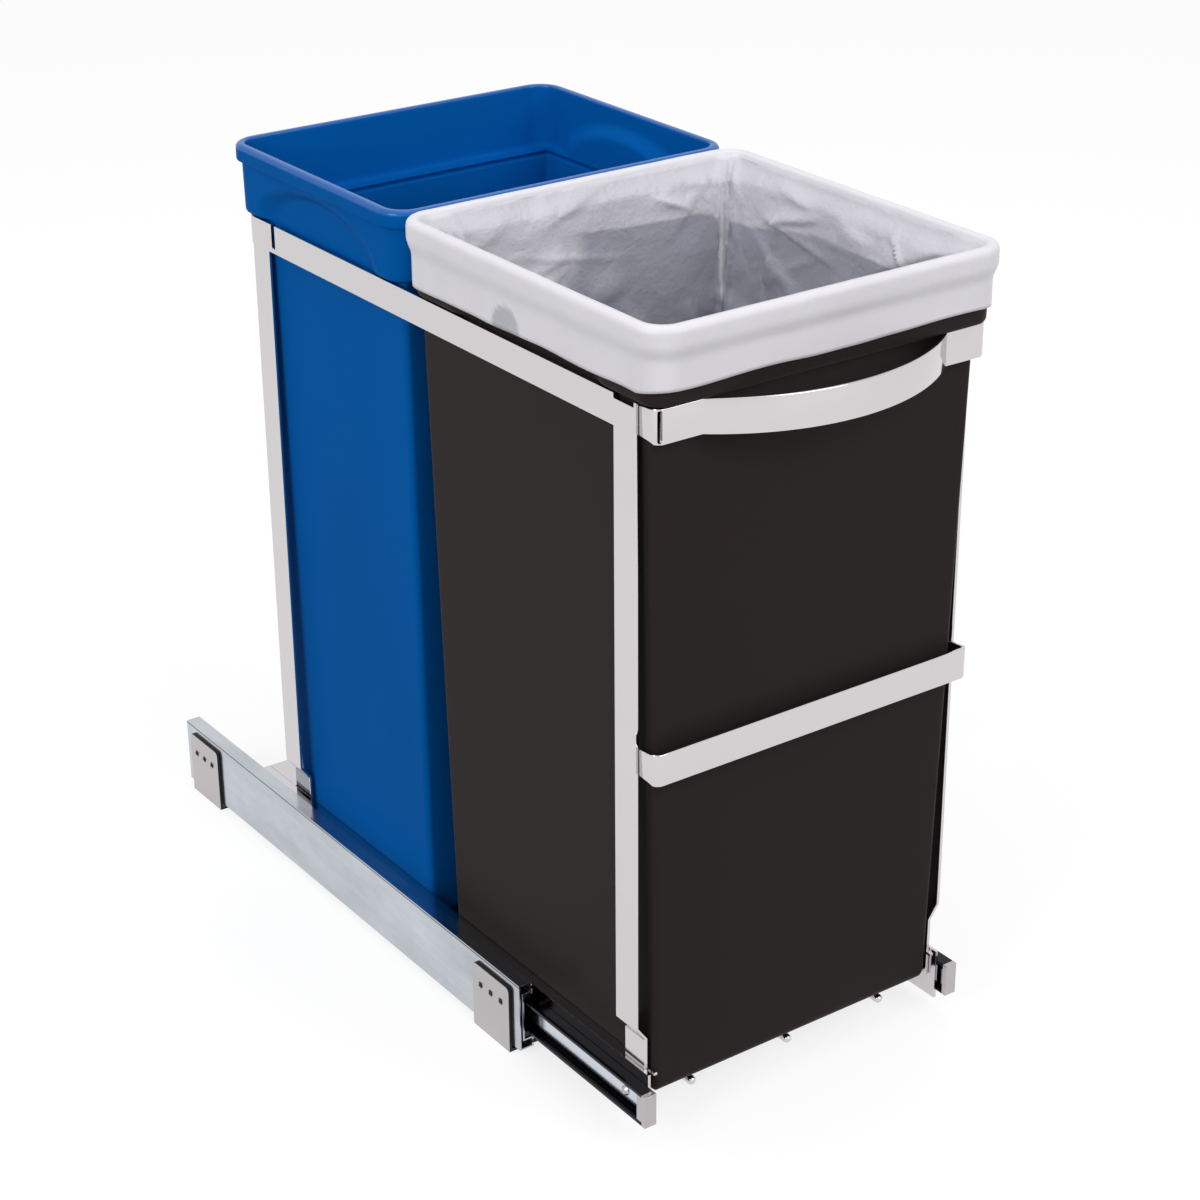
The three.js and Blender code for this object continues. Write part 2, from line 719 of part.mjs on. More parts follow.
/** A slot down each bend of a top strap, where the strip was relieved for bending. */
function relievedBends(strip, { edgeY, outward, standOff, height }) {
  const slotX = strapReturnFace - cornerSlotInset - cornerSlotWidth;
  const farY = edgeY + outward * (standOff + through);
  const nearY = edgeY + outward * (standOff - strapSheet - cornerSlotBite);
  const halfZ = height / 2 - cornerSlotMargin;
  let solid = solidOf(strip);
  for (const side of [-1, 1]) {
    solid = solid.subtract(solidOf(block(
      [side * slotX, side * (slotX + cornerSlotWidth)], [nearY, farY],
      [topStrapZ - halfZ, topStrapZ + halfZ],
    )));
  }
  return geometryOf(solid);
}

const topStrapZ = frameTopZ - topStrapHeight / 2;
const plainSpan = () => [];
const atFront = { edgeY: frameFrontY, outward: -1, standOff: strapStandOff, reach: strapReturnReach };
const atBack = { edgeY: frameRearY, outward: 1, standOff: backStrapStandOff, reach: backStrapReach };
const handle = { ...atFront, height: topStrapHeight, span: bowPoints };
const belly = { ...atFront, height: bellyStrapHeight, span: plainSpan };
const back = { ...atBack, height: topStrapHeight, span: plainSpan };
const handleStrip = bentStrip(strapPath(handle), strapSheet, topStrapZ);
const bellyStrip = bentStrip(strapPath(belly), strapSheet, bellyStrapZ);
const backStrip = bentStrip(strapPath(back), strapSheet, topStrapZ);

piece(carriage, 'handle_strap', relievedBends(handleStrip, handle), chrome);
piece(carriage, 'belly_strap', geometryOf(solidOf(bellyStrip)), chrome);
piece(carriage, 'back_strap', relievedBends(backStrip, back), chrome);

// ---------------------------------------------------------------- bins

/**
 * One ring of a bin. The inset is how far its side walls stand in from the rim, and the ends have
 * insets of their own where they differ.
 */
function binLevel({ y0, y1 }, z, inset, radius, { front = inset, rear = inset } = {}) {
  return { halfWidth: rimHalfWidth - inset, y0: y0 + front, y1: y1 - rear, radius, z };
}

/** The quarter turn of a rounded edge, as the angles of its points. */
const quarterTurn = [0, 1, 2, 3].map((i) => (Math.PI / 2) * i / 3);

/** Body ring of a bin, moved in by extra all round and by side and end drafts of its own. */
function bodyLevel(bay, z, radius, extra, sideDraft = 0, endDraft = 0) {
  return binLevel(bay, z, bodySideInset + extra + sideDraft, radius, {
    front: bay.frontInset + extra + endDraft,
    rear: bay.rearInset + extra + endDraft,
  });
}

/** Body levels of a bin up to its step. shrink is 0 outside and the wall inside. */
function bodyLevels(bay, shrink) {
  const edge = floorEdgeRadius - shrink;
  const radius = bodyCornerRadius - shrink;
  const foot = quarterTurn.map((turn) => bodyLevel(
    bay, floorZ + shrink + edge * (1 - Math.cos(turn)), radius,
    shrink + edge * (1 - Math.sin(turn)), bodySideDraft, bodyEndDraft,
  ));
  // Inside, the wall turns out onto the step's ledge, round the outer corner of the step.
  const top = quarterTurn.map((turn) => bodyLevel(
    bay, skirtBottomZ + shrink * Math.sin(turn),
    radius + shrink * (1 - Math.cos(turn)), shrink * Math.cos(turn),
  ));
  return [...foot, ...(shrink > 0 ? top : [top[0]])];
}

/** The two finger recesses, one in each side of the skirt, larger by grow for the inner wall. */
function fingerArches(bay, grow) {
  const middleY = (bay.y0 + bay.y1) / 2;
  const inner = rimHalfWidth - bodySideInset + archMargin - grow;
  const reach = bodySideInset + grow;
  const shape = new THREE.Shape();
  shape.absellipse(0, 0, archHalfWidth + grow, archHeight + grow, 0, Math.PI, false, 0);
  shape.lineTo(-archHalfWidth - grow, -sideStep);
  shape.lineTo(archHalfWidth + grow, -sideStep);
  const prism = new THREE.ExtrudeGeometry(shape, {
    depth: reach, bevelEnabled: false, curveSegments: 16,
  });
  prism.rotateX(Math.PI / 2).rotateZ(Math.PI / 2);
  const right = prism.clone().translate(inner, middleY, skirtBottomZ);
  const left = prism.clone().translate(-inner - reach, middleY, skirtBottomZ);
  return solidOf(right).add(solidOf(left));
}

/** A bin: tapered body, step, skirt with finger recesses and a proud lip round the rim. */
function bin(bay) {
  const skirtEdge = quarterTurn.map((turn) => {
    const tuck = skirtEdgeRadius * (1 - Math.sin(turn));
    const z = skirtBottomZ + skirtEdgeRadius * (1 - Math.cos(turn));
    return binLevel(bay, z, skirtInset + tuck, skirtRadius - tuck);
  });
  const rimEdge = quarterTurn.map((turn) => {
    const tuck = rimEdgeRadius * (1 - Math.cos(turn));
    const z = rimZ - rimEdgeRadius * (1 - Math.sin(turn));
    return binLevel(bay, z, tuck, rimCornerRadius - tuck);
  });
  const outside = solidOf(lofted([
    ...bodyLevels(bay, 0),
    ...skirtEdge,
    binLevel(bay, lipBottomZ, lipProud, skirtRadius),
    binLevel(bay, lipBottomZ, 0, rimCornerRadius),
    ...rimEdge,
  ]));
  const innerRadius = skirtRadius - binWall;
  const mouthInset = lipProud + binWall;
  const cavity = solidOf(lofted([
    ...bodyLevels(bay, binWall),
    binLevel(bay, skirtBottomZ + binWall, skirtInset + binWall, innerRadius),
    binLevel(bay, rimZ - mouthChamfer, mouthInset, innerRadius),
    binLevel(bay, rimZ + mouthChamfer, mouthInset - 2 * mouthChamfer, innerRadius + 2 * mouthChamfer),
  ]));
  const hollow = cavity.subtract(fingerArches(bay, binWall));
  return outside.subtract(fingerArches(bay, 0)).subtract(hollow);
}

/** Round holes through the skirt, where a bag's spare edge is tucked. */
function withTuckHoles(solid, bay) {
  const y = (bay.y0 + bay.y1) / 2 + tuckHoleOffset;
  const outer = rimHalfWidth + through;
  const inner = rimHalfWidth - bodySideInset - 2 * binWall;
  const cut = [-1, 1].map((side) => solidOf(
    pegAlongX(tuckHoleRadius, [side * inner, side * outer], y, skirtBottomZ + tuckHoleRise),
  ));
  return solid.subtract(cut[0]).subtract(cut[1]);
}

piece(unit, 'front_bin', geometryOf(withTuckHoles(bin(frontBay), frontBay)), binBlack);
piece(unit, 'rear_bin', geometryOf(bin(rearBay)), binBlue);

// ---------------------------------------------------------------- liner

/**
 * One face of the liner, from its foot inside the bin up over the rim and down to its hem. lift
 * is how far that face stands off the rim outside, and within how far in it lies inside.
 */
function linerFace(bay, lift, within) {
  const bagRadius = bodyCornerRadius - linerInset;
  const footZ = floorZ + binWall + floorEdgeRadius + within;
  const throatInset = lipProud + binWall + linerInset + within;
  const throatRadius = skirtRadius - binWall - linerInset;
  const bagInset = binWall + linerInset + within;
  const fold = quarterTurn.map((turn) => {
    const inset = rimEdgeRadius - (rimEdgeRadius + lift) * Math.sin(turn);
    const z = rimZ - rimEdgeRadius + (rimEdgeRadius + lift) * Math.cos(turn);
    return binLevel(bay, z, inset, rimCornerRadius - inset);
  });
  return [
    bodyLevel(bay, footZ, bagRadius, bagInset + linerSlack, bodySideDraft, bodyEndDraft),
    bodyLevel(bay, rimZ - linerGatherDepth, bagRadius, bagInset),
    binLevel(bay, rimZ - rimEdgeRadius, throatInset, throatRadius),
    binLevel(bay, rimZ + lift, throatInset, throatRadius),
    ...fold,
    binLevel(bay, lipBottomZ - lift, -lift, rimCornerRadius + lift),
    binLevel(bay, lipBottomZ - lift - linerFlare, lipProud - lift, skirtRadius + lift),
    binLevel(bay, skirtBottomZ + linerHemRise, lipProud - lift, skirtRadius + lift),
  ];
}

/** Liner: a bag hanging inside the front bin, folded out over the rim and down to its hem. */
function liner(bay) {
  const againstBin = linerFace(bay, linerGap, 0);
  const openSide = linerFace(bay, linerGap + linerSheet, linerSheet);
  return lofted([...againstBin, ...openSide.reverse()]);
}

piece(unit, 'bin_liner', geometryOf(solidOf(liner(frontBay))), linerFilm);

// ---------------------------------------------------------------- the whole unit

// The origin is under the middle of the unit: half way between the bow and the rails' far ends.
const foremostY = frameFrontY - strapStandOff - bowReach;
const rearmostY = railFrontY + railLength;
unit.add(carriage);
unit.position.y = -(foremostY + rearmostY) / 2;
unit.updateMatrixWorld(true);

const assembly = new THREE.Group();
assembly.add(unit);

export default assembly;
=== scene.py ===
import json
import math

import bmesh
import bpy
import numpy as np
from mathutils import Matrix, Vector


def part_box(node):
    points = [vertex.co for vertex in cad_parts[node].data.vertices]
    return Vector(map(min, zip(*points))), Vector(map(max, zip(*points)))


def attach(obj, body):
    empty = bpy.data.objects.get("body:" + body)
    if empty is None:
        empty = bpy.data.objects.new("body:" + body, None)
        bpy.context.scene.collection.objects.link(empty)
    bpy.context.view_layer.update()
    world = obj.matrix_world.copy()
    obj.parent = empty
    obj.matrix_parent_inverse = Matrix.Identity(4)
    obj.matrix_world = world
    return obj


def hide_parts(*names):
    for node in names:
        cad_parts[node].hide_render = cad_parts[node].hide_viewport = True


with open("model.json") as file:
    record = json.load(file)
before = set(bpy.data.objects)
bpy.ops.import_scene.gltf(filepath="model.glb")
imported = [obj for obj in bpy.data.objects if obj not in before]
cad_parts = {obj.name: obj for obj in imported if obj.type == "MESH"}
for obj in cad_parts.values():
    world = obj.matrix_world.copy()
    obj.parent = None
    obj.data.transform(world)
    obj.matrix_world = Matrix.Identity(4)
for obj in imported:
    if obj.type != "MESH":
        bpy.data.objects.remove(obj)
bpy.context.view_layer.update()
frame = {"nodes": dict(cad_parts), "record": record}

# ---------------------------------------------------------------- camera
# A long lens well above the rim, from the front left: 80 mm on a 36 mm sensor, 1.66 m from the
# middle of the unit, rolled by under half a degree.
camera_target = Vector((0.0406, 0.0097, 0.1963))
camera_azimuth = math.radians(-35.45)
camera_elevation = math.radians(25.28)
camera_roll = math.radians(-0.40)
camera_distance = 1.6622
camera_lens = 80.48
camera_sensor = 36.0


def new_object(name, data):
    """An object of the given data, linked into the scene."""
    item = bpy.data.objects.new(name, data)
    bpy.context.scene.collection.objects.link(item)
    return item


camera_data = bpy.data.cameras.new("camera")
camera_data.lens = camera_lens
camera_data.sensor_width = camera_sensor
camera = new_object("camera", camera_data)
turn = (
    Matrix.Rotation(camera_azimuth, 4, "Z")
    @ Matrix.Rotation(math.pi / 2 - camera_elevation, 4, "X")
    @ Matrix.Rotation(camera_roll, 4, "Z")
)
camera.matrix_world = Matrix.Translation(
    camera_target + turn.to_3x3() @ Vector((0, 0, camera_distance))
) @ turn
bpy.context.scene.camera = camera

# ---------------------------------------------------------------- zinc slides
# Rolled steel slide members with bright zinc plating, cold and faintly mottled, with fine lines
# along the rolling direction. Each member runs in the next on two rows of steel balls.
FLOAT, COLOUR = "NodeSocketFloat", "NodeSocketColor"


def new_group(name, inputs, outputs):
    """An empty shader group: inputs are (name, kind, value) and outputs are (name, kind)."""
    group = bpy.data.node_groups.new(name, "ShaderNodeTree")
    for socket_name, kind, value in inputs:
        socket = group.interface.new_socket(socket_name, in_out="INPUT", socket_type=kind)
        socket.default_value = value
    for socket_name, kind in outputs:
        group.interface.new_socket(socket_name, in_out="OUTPUT", socket_type=kind)
    return group, group.nodes.new("NodeGroupInput"), group.nodes.new("NodeGroupOutput")


def new_material(name):
    """A material, its node tree and its shader."""
    material = bpy.data.materials.new(name)
    material.use_nodes = True
    return material, material.node_tree, material.node_tree.nodes["Principled BSDF"]


def place_group(tree, group, values):
    """A shader group placed in a material with its own socket values."""
    node = tree.nodes.new("ShaderNodeGroup")
    node.node_tree = group
    for socket, value in values.items():
        node.inputs[socket].default_value = value
    return node.outputs


def object_space(tree):
    """Object coordinates."""
    return tree.nodes.new("ShaderNodeTexCoord").outputs["Object"]


def object_height(tree):
    """The height in object space."""
    split = tree.nodes.new("ShaderNodeSeparateXYZ")
    tree.links.new(object_space(tree), split.inputs[0])
    return split.outputs["Z"]


def math_node(tree, operation, first, second, clamp=False):
    """One Math node. Each operand is a socket or a number."""
    node = tree.nodes.new("ShaderNodeMath")
    node.operation = operation
    node.use_clamp = clamp
    for index, operand in enumerate((first, second)):
        if isinstance(operand, (int, float)):
            node.inputs[index].default_value = operand
        else:
            tree.links.new(operand, node.inputs[index])
    return node.outputs[0]


def noise_field(tree, vector, scale, detail, roughness=0.5, stretch=(1, 1, 1)):
    """Noise over object space, finer by scale per metre and drawn out by stretch."""
    mapping = tree.nodes.new("ShaderNodeMapping")
    mapping.inputs["Scale"].default_value = [scale * s for s in stretch]
    tree.links.new(vector, mapping.inputs["Vector"])
    noise = tree.nodes.new("ShaderNodeTexNoise")
    noise.inputs["Scale"].default_value = 1.0
    noise.inputs["Detail"].default_value = detail
    noise.inputs["Roughness"].default_value = roughness
    tree.links.new(mapping.outputs["Vector"], noise.inputs["Vector"])
    return noise.outputs["Fac"]


def scaled_colour(tree, colour, gain):
    """A colour times a number, both from sockets."""
    node = tree.nodes.new("ShaderNodeVectorMath")
    node.operation = "SCALE"
    tree.links.new(colour, node.inputs[0])
    tree.links.new(gain, node.inputs["Scale"])
    return node.outputs[0]


def add_bump(tree, shader, height, distance, strength=1.0):
    """Turns a height into relief of the given distance in metres on the shader."""
    bump = tree.nodes.new("ShaderNodeBump")
    bump.inputs["Distance"].default_value = distance
    bump.inputs["Strength"].default_value = strength
    tree.links.new(height, bump.inputs["Height"])
    tree.links.new(bump.outputs["Normal"], shader.inputs["Normal"])


def plated_steel_group():
    """Plated steel: a cloudy tone, lines along Y, small handling marks, and a height that is the
    sum of clouds and lines."""
    group, start, end = new_group(
        "plated_steel",
        [
            ("Tone", COLOUR, (0.7, 0.7, 0.7, 1)),
            ("Clouding", FLOAT, 0.1),
            ("Lines", FLOAT, 0.1),
            ("Gloss", FLOAT, 0.2),
            ("Dulling", FLOAT, 0.1),
        ],
        [("Colour", COLOUR), ("Roughness", FLOAT), ("Height", FLOAT)],
    )
    given, links, place = start.outputs, group.links, object_space(group)
    clouds = noise_field(
        group, place, scale=46.0, detail=4.0, roughness=0.6, stretch=(1.0, 0.3, 0.8)
    )
    lines = noise_field(
        group, place, scale=900.0, detail=2.0, roughness=0.6, stretch=(1.0, 0.012, 1.0)
    )
    marks = noise_field(group, place, scale=160.0, detail=6.0, roughness=0.75)
    cloud_shift = math_node(group, "SUBTRACT", clouds, 0.5)
    line_shift = math_node(group, "SUBTRACT", lines, 0.5)
    mark_shift = math_node(group, "SUBTRACT", marks, 0.5)
    clouded = math_node(group, "MULTIPLY", cloud_shift, given["Clouding"])
    lined = math_node(group, "MULTIPLY", line_shift, given["Lines"])
    both = math_node(group, "ADD", clouded, lined)
    gain = math_node(group, "ADD", both, 1.0)
    links.new(scaled_colour(group, given["Tone"], gain), end.inputs["Colour"])
    dulled = math_node(group, "MULTIPLY", mark_shift, given["Dulling"])
    wavy = math_node(group, "MULTIPLY", cloud_shift, given["Dulling"])
    rough = math_node(group, "ADD", dulled, wavy)
    rough = math_node(group, "ADD", rough, given["Gloss"], clamp=True)
    links.new(rough, end.inputs["Roughness"])
    links.new(both, end.inputs["Height"])
    return group


def height_band_group():
    """Mask that is 1 between the heights Low and High in object space."""
    group, start, end = new_group(
        "height_band",
        [("Low", FLOAT, 0.0), ("High", FLOAT, 1.0), ("Softness", FLOAT, 0.0008)],
        [("Mask", FLOAT)],
    )
    given, height = start.outputs, object_height(group)
    above = math_node(group, "SUBTRACT", height, given["Low"])
    above = math_node(group, "DIVIDE", above, given["Softness"], clamp=True)
    below = math_node(group, "SUBTRACT", given["High"], height)
    below = math_node(group, "DIVIDE", below, given["Softness"], clamp=True)
    group.links.new(math_node(group, "MULTIPLY", above, below), end.inputs["Mask"])
    return group


plated_steel = plated_steel_group()
height_band = height_band_group()


def steel_material(name, tone, clouding, lines, gloss, dulling, relief, band=None):
    """A metallic finish fed by the plated steel group, with relief in metres. A band gives two
    heights, a softness, and the two tones inside and outside it, where None is the finish."""
    material, tree, shader = new_material(name)
    shader.inputs["Metallic"].default_value = 1.0
    steel = place_group(
        tree,
        plated_steel,
        {
            "Tone": (*tone, 1),
            "Clouding": clouding,
            "Lines": lines,
            "Gloss": gloss,
            "Dulling": dulling,
        },
    )
    colour = steel["Colour"]
    if band:
        low, high, softness, tone_inside, tone_outside = band
        limits = {"Low": low, "High": high, "Softness": softness}
        mix = tree.nodes.new("ShaderNodeMix")
        mix.data_type = "RGBA"
        tree.links.new(place_group(tree, height_band, limits)["Mask"], mix.inputs["Factor"])
        for socket, value in (("A", tone_outside), ("B", tone_inside)):
            if value is None:
                tree.links.new(colour, mix.inputs[socket])
            else:
                mix.inputs[socket].default_value = (*value, 1)
        colour = mix.outputs["Result"]
    tree.links.new(colour, shader.inputs["Base Color"])
    tree.links.new(steel["Roughness"], shader.inputs["Roughness"])
    add_bump(tree, shader, steel["Height"], relief)
    return material


bodies = {
    node: body
    for body, members in frame["record"]["behaviour"]["bodies"].items()
    for node in members
}
merge_distance = 1e-6
flat_degrees = 0.5


def finished_copy(node, material, edge, angle=30.0, steps=2):
    """A CAD solid with its corners joined and flat areas whole, its edges rounded by edge."""
    mesh = bpy.data.meshes.new("finished_" + node)
    work = bmesh.new()
    work.from_mesh(frame["nodes"][node].data)
    bmesh.ops.remove_doubles(work, verts=work.verts, dist=merge_distance)
    bmesh.ops.dissolve_limit(
        work, angle_limit=math.radians(flat_degrees), verts=work.verts, edges=work.edges
    )
    for face in work.faces:
        face.smooth = True
    work.to_mesh(mesh)
    work.free()
    mesh.materials.clear()
    mesh.materials.append(material)
    piece = new_object("finished_" + node, mesh)
    if edge > 0:
        bevel = piece.modifiers.new("rounded edges", "BEVEL")
        bevel.width = edge
        bevel.segments = steps
        bevel.limit_method = "ANGLE"
        bevel.angle_limit = math.radians(angle)
        bevel.harden_normals = True
    mesh.set_sharp_from_angle(angle=math.radians(angle))
    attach(piece, bodies[node])
    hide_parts(node)
    return piece


# The outer rail has a dark reflection painted just under its top edge, and the inner rail's tracks
# above and below its web are painted dark for their shade and dark reflections.
# Painted reflection: a dark line just under the outer rail's top edge.
top_reflection_tone = (0.05, 0.055, 0.07)
rail_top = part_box("outer_rail_left")[1].z
top_reflection_band = (rail_top - 0.0015, rail_top - 0.0004, 0.0003, top_reflection_tone, None)
# Painted shade: the inner rail's tracks above and below its web are painted dark.
track_shade_tone = (0.016, 0.016, 0.02)
unshaded_web = (0.0211, 0.0323, 0.0008, None, track_shade_tone)
zinc = steel_material(
    "zinc_plating",
    (0.49, 0.52, 0.56),
    clouding=0.62,
    lines=0.16,
    gloss=0.2,
    dulling=0.12,
    relief=4e-6,
    band=top_reflection_band,
)
zinc_inner = steel_material(
    "zinc_plating_worn",
    (0.45, 0.48, 0.52),
    clouding=0.35,
    lines=0.15,
    gloss=0.22,
    dulling=0.14,
    relief=5e-6,
)
# The inner rail's finish, painted dark above and below its web as shade and dark reflections.
zinc_track = steel_material(
    "zinc_plating_track_shade",
    (0.60, 0.64, 0.70),
    clouding=0.3,
    lines=0.1,
    gloss=0.16,
    dulling=0.1,
    relief=4e-6,
    band=unshaded_web,
)
ball_steel = steel_material(
    "ball_steel",
    (0.62, 0.63, 0.65),
    clouding=0.1,
    lines=0.05,
    gloss=0.12,
    dulling=0.08,
    relief=2e-6,
)
rail_edge = 0.00022
rail_outer_edge = 0.0004
for side in ("left", "right"):
    finished_copy(f"outer_rail_{side}", zinc, rail_outer_edge, steps=3)
    finished_copy(f"mid_rail_{side}", zinc_inner, rail_edge)
    finished_copy(f"inner_rail_{side}", zinc_track, rail_edge)
    finished_copy(f"outer_ball_cage_{side}", ball_steel, 0.0, angle=50.0)
    finished_copy(f"inner_ball_cage_{side}", ball_steel, 0.0, angle=50.0)

# ---------------------------------------------------------------- bumpers, end caps and rivets
# A black moulded bumper sits in each middle rail's mouth. Satin nickel caps close the inner rails'
# front ends, and domed rivets hold the inner rails to the lower rails.
plastic_tone = (0.012, 0.012, 0.013)
plastic_grain_scale = 1500.0
plastic_relief = 2e-5
bumper_edge = 0.0004
cap_edge = 0.0005


def map_range(tree, value, **limits):
    """A value brought from one range to another. The limits are named as the sockets are."""
    node = tree.nodes.new("ShaderNodeMapRange")
    for socket, limit in limits.items():
        node.inputs[socket.replace("_", " ")].default_value = limit
    tree.links.new(value, node.inputs["Value"])
    return node.outputs[0]


def plastic_material():
    """Fine-grained black plastic, duller where the grain is high."""
    material, tree, shader = new_material("bumper_plastic")
    grain = noise_field(tree, object_space(tree), scale=plastic_grain_scale, detail=2.0)
    roughness = map_range(tree, grain, To_Min=0.42, To_Max=0.6)
    tree.links.new(roughness, shader.inputs["Roughness"])
    add_bump(tree, shader, grain, plastic_relief)
    shader.inputs["Base Color"].default_value = (*plastic_tone, 1)
    return material


plastic = plastic_material()
nickel = steel_material(
    "satin_nickel",
    (0.48, 0.455, 0.46),
    clouding=0.12,
    lines=0.08,
    gloss=0.24,
    dulling=0.1,
    relief=2e-6,
)
for side in ("left", "right"):
    finished_copy(f"mid_rail_bumper_{side}", plastic, bumper_edge)
    finished_copy(f"rail_end_cap_{side}", nickel, cap_edge, steps=3)
    for place in ("front", "middle", "rear"):
        finished_copy(f"rail_rivet_{side}_{place}", nickel, 0.0)

# ---------------------------------------------------------------- floor brackets
# Pressed steel angles in satin nickel, two to each outer rail, with a shadow gap painted dark along
# their edges. Three small round marks stand proud near each plate's top, painted dark as shade, and
# the foot turned in has two screw holes.
# Painted shade: a dark finish for the shadow gap along the plates' edges and for the raised marks.
edge_shade = steel_material(
    "painted_edge_shade",
    (0.035, 0.033, 0.035),
    clouding=0.2,
    lines=0.1,
    gloss=0.3,
    dulling=0.1,
    relief=5e-6,
)
bracket_edge = 0.0003
bracket_foot_top = 0.0025
# Those edge faces are painted dark as a shadow gap.
bracket_facing = 0.5  # a face whose normal has less along X than this is a sheared edge
mark_spacing = 0.0105
mark_radius = 0.0022
mark_height = 0.0012
mark_drop = 0.0125
mark_clearance = 2e-5
mark_spokes = 24
mark_rings = 5


def add_piece(name, mesh, material, body, replaced=(), sharp=30.0):
    """Puts a mesh into the scene as a piece that rides on a body."""
    mesh.materials.clear()
    mesh.materials.append(material)
    mesh.shade_smooth()
    mesh.set_sharp_from_angle(angle=math.radians(sharp))
    piece = new_object(name, mesh)
    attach(piece, body)
    if replaced:
        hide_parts(*replaced)
    return piece


def bracket_marks(node):
    """Three low round bumps in a row. Each is a grid of rings and spokes round a centre, whose
    rise is a half cosine of its radius."""
    low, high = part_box(node)
    outward = 1.0 if high.x > 0 else -1.0
    face_x = high.x if outward > 0 else low.x
    middle_y = (low.y + high.y) / 2
    radii = np.linspace(0, 1, mark_rings + 1)[1:]
    turns = np.linspace(0, 2 * math.pi, mark_spokes, endpoint=False)
    ring, angle = np.meshgrid(radii, turns, indexing="ij")
    ring, angle = np.append(ring, 0.0), np.append(angle, 0.0)
    rise = 0.5 * (1 + np.cos(math.pi * ring)) * mark_height
    x = face_x + outward * (rise + mark_clearance)
    z = high.z - mark_drop + mark_radius * ring * np.sin(angle)
    spoke = np.arange(mark_spokes)
    after = np.roll(spoke, -1)
    inner = mark_spokes * np.arange(mark_rings - 1)[:, None]
    outer = inner + mark_spokes
    quads = np.stack([outer + spoke, outer + after, inner + after, inner + spoke], -1)
    fan = np.stack([spoke, after, np.full_like(spoke, len(ring) - 1)], -1)
    points, faces = [], []
    for shift in (-mark_spacing, 0.0, mark_spacing):
        start = len(points)
        y = middle_y + shift + mark_radius * ring * np.cos(angle)
        points += np.stack([x, y, z], -1).tolist()
        for block in (fan, quads.reshape(-1, 4)):
            faces += (start + (block if outward > 0 else block[:, ::-1])).tolist()
    mesh = bpy.data.meshes.new("dimples_" + node)
    mesh.from_pydata(points, [], faces)
    # The marks take the dark edge finish: painted shade.
    return add_piece("dimples_" + node, mesh, edge_shade, bodies[node], sharp=180.0)


for side in ("left", "right"):
    for place in ("front", "rear"):
        bracket = f"floor_bracket_{side}_{place}"
        plate = finished_copy(bracket, nickel, bracket_edge)
        # Edge faces above the foot take the painted shadow gap.
        plate.data.materials.append(edge_shade)
        for face in plate.data.polygons:
            if abs(face.normal.x) < bracket_facing and face.center.z > bracket_foot_top:
                face.material_index = 1
        bracket_marks(bracket)

# ---------------------------------------------------------------- side frames and carriage floor
# Side frames, lower rails, cross strips, rear tie and floor wires of chromed mild steel strip and
# wire. They are welded together, and their cut edges are softened by the plating. The step in
# each post starts a little above the bend of the plain solid.
chrome = steel_material(
    "chrome_plating",
    (0.615, 0.59, 0.60),
    clouding=0.05,
    lines=0.02,
    gloss=0.09,
    dulling=0.05,
    relief=5e-7,
)
post_edge = 0.0004
cut_edge = 0.0003
step_bottom_z = 0.061
step_find = 0.001
step_lift = 0.0025
flat_face_weight = 90
for side in ("left", "right"):
    side_frame = finished_copy(f"side_frame_{side}", chrome, post_edge, angle=20.0)
    for vertex in side_frame.data.vertices:
        if abs(vertex.co.z - step_bottom_z) < step_find:
            vertex.co.z += step_lift
    side_frame.modifiers["rounded edges"].harden_normals = False
    flat_faces = side_frame.modifiers.new("flat faces", "WEIGHTED_NORMAL")
    flat_faces.weight = flat_face_weight
    finished_copy(f"lower_rail_{side}", chrome, cut_edge)
finished_copy("rear_tie", chrome, cut_edge)
for place in ("front", "middle", "rear"):
    finished_copy(f"cross_strip_{place}", chrome, cut_edge)
for place in ("left", "middle", "right"):
    finished_copy(f"floor_wire_{place}", chrome, 0.0, angle=60.0)

# ---------------------------------------------------------------- straps
# Chromed flat strip, 2 mm thick, bent square at both ends and welded inside the posts. The bow
# handle stands out of the front top strap. A slot down the left bend relieves each top strap.
strip_thickness = 0.002
strip_edge = 0.0006
bend_radius = 0.004
bow_half_span = 0.0795
bow_reach = 0.0278
bow_strap_height = 0.019
bow_extra_height = 0.0006
end_trim = 0.0035  # how much lower the bent ends are than the strap
trim_fade_points = 9.0
trim_fade_power = 0.6
plain_span_share = 0.9
slot_width = 0.0022
slot_setback = 0.0026
slot_margin = 0.0018
slot_depth = 0.0064


def swept_strip(path, heights, middle_z):
    """A rounded rectangle section carried along a path in plan. Each section stands across the
    path's mitred direction: straight sides, with a quarter circle at each corner."""
    path = np.asarray(path)
    step = np.diff(path, axis=0)
    step /= np.linalg.norm(step, axis=1, keepdims=True)
    arriving = np.vstack([step[:1], step])
    leaving = np.vstack([step, step[-1:]])
    along = arriving + leaving
    along /= np.linalg.norm(along, axis=1, keepdims=True)
    across = np.stack([-along[:, 1], along[:, 0]], 1)
    least_cosine = 0.5
    mitre = 1 / np.maximum(np.sum(along * arriving, axis=1), least_cosine)
    section = []
    for sx, sz, start in ((1, 1, 0.0), (-1, 1, 90.0), (-1, -1, 180.0), (1, -1, 270.0)):
        angle = np.linspace(0, math.pi / 2, 5) + math.radians(start)
        sides = np.full_like(angle, sx), np.full_like(angle, sz)
        section.append(np.stack([*sides, np.cos(angle), np.sin(angle)], 1))
    section = np.vstack(section)
    half_t = strip_thickness / 2 - strip_edge
    half_h = np.asarray(heights) / 2 - strip_edge
    out = section[None, :, 0] * half_t + section[None, :, 2] * strip_edge
    up = section[None, :, 1] * half_h[:, None] + section[None, :, 3] * strip_edge
    points = np.empty((len(path), len(section), 3))
    points[:, :, :2] = path[:, None] + across[:, None] * mitre[:, None, None] * out[:, :, None]
    points[:, :, 2] = middle_z + up
    return points


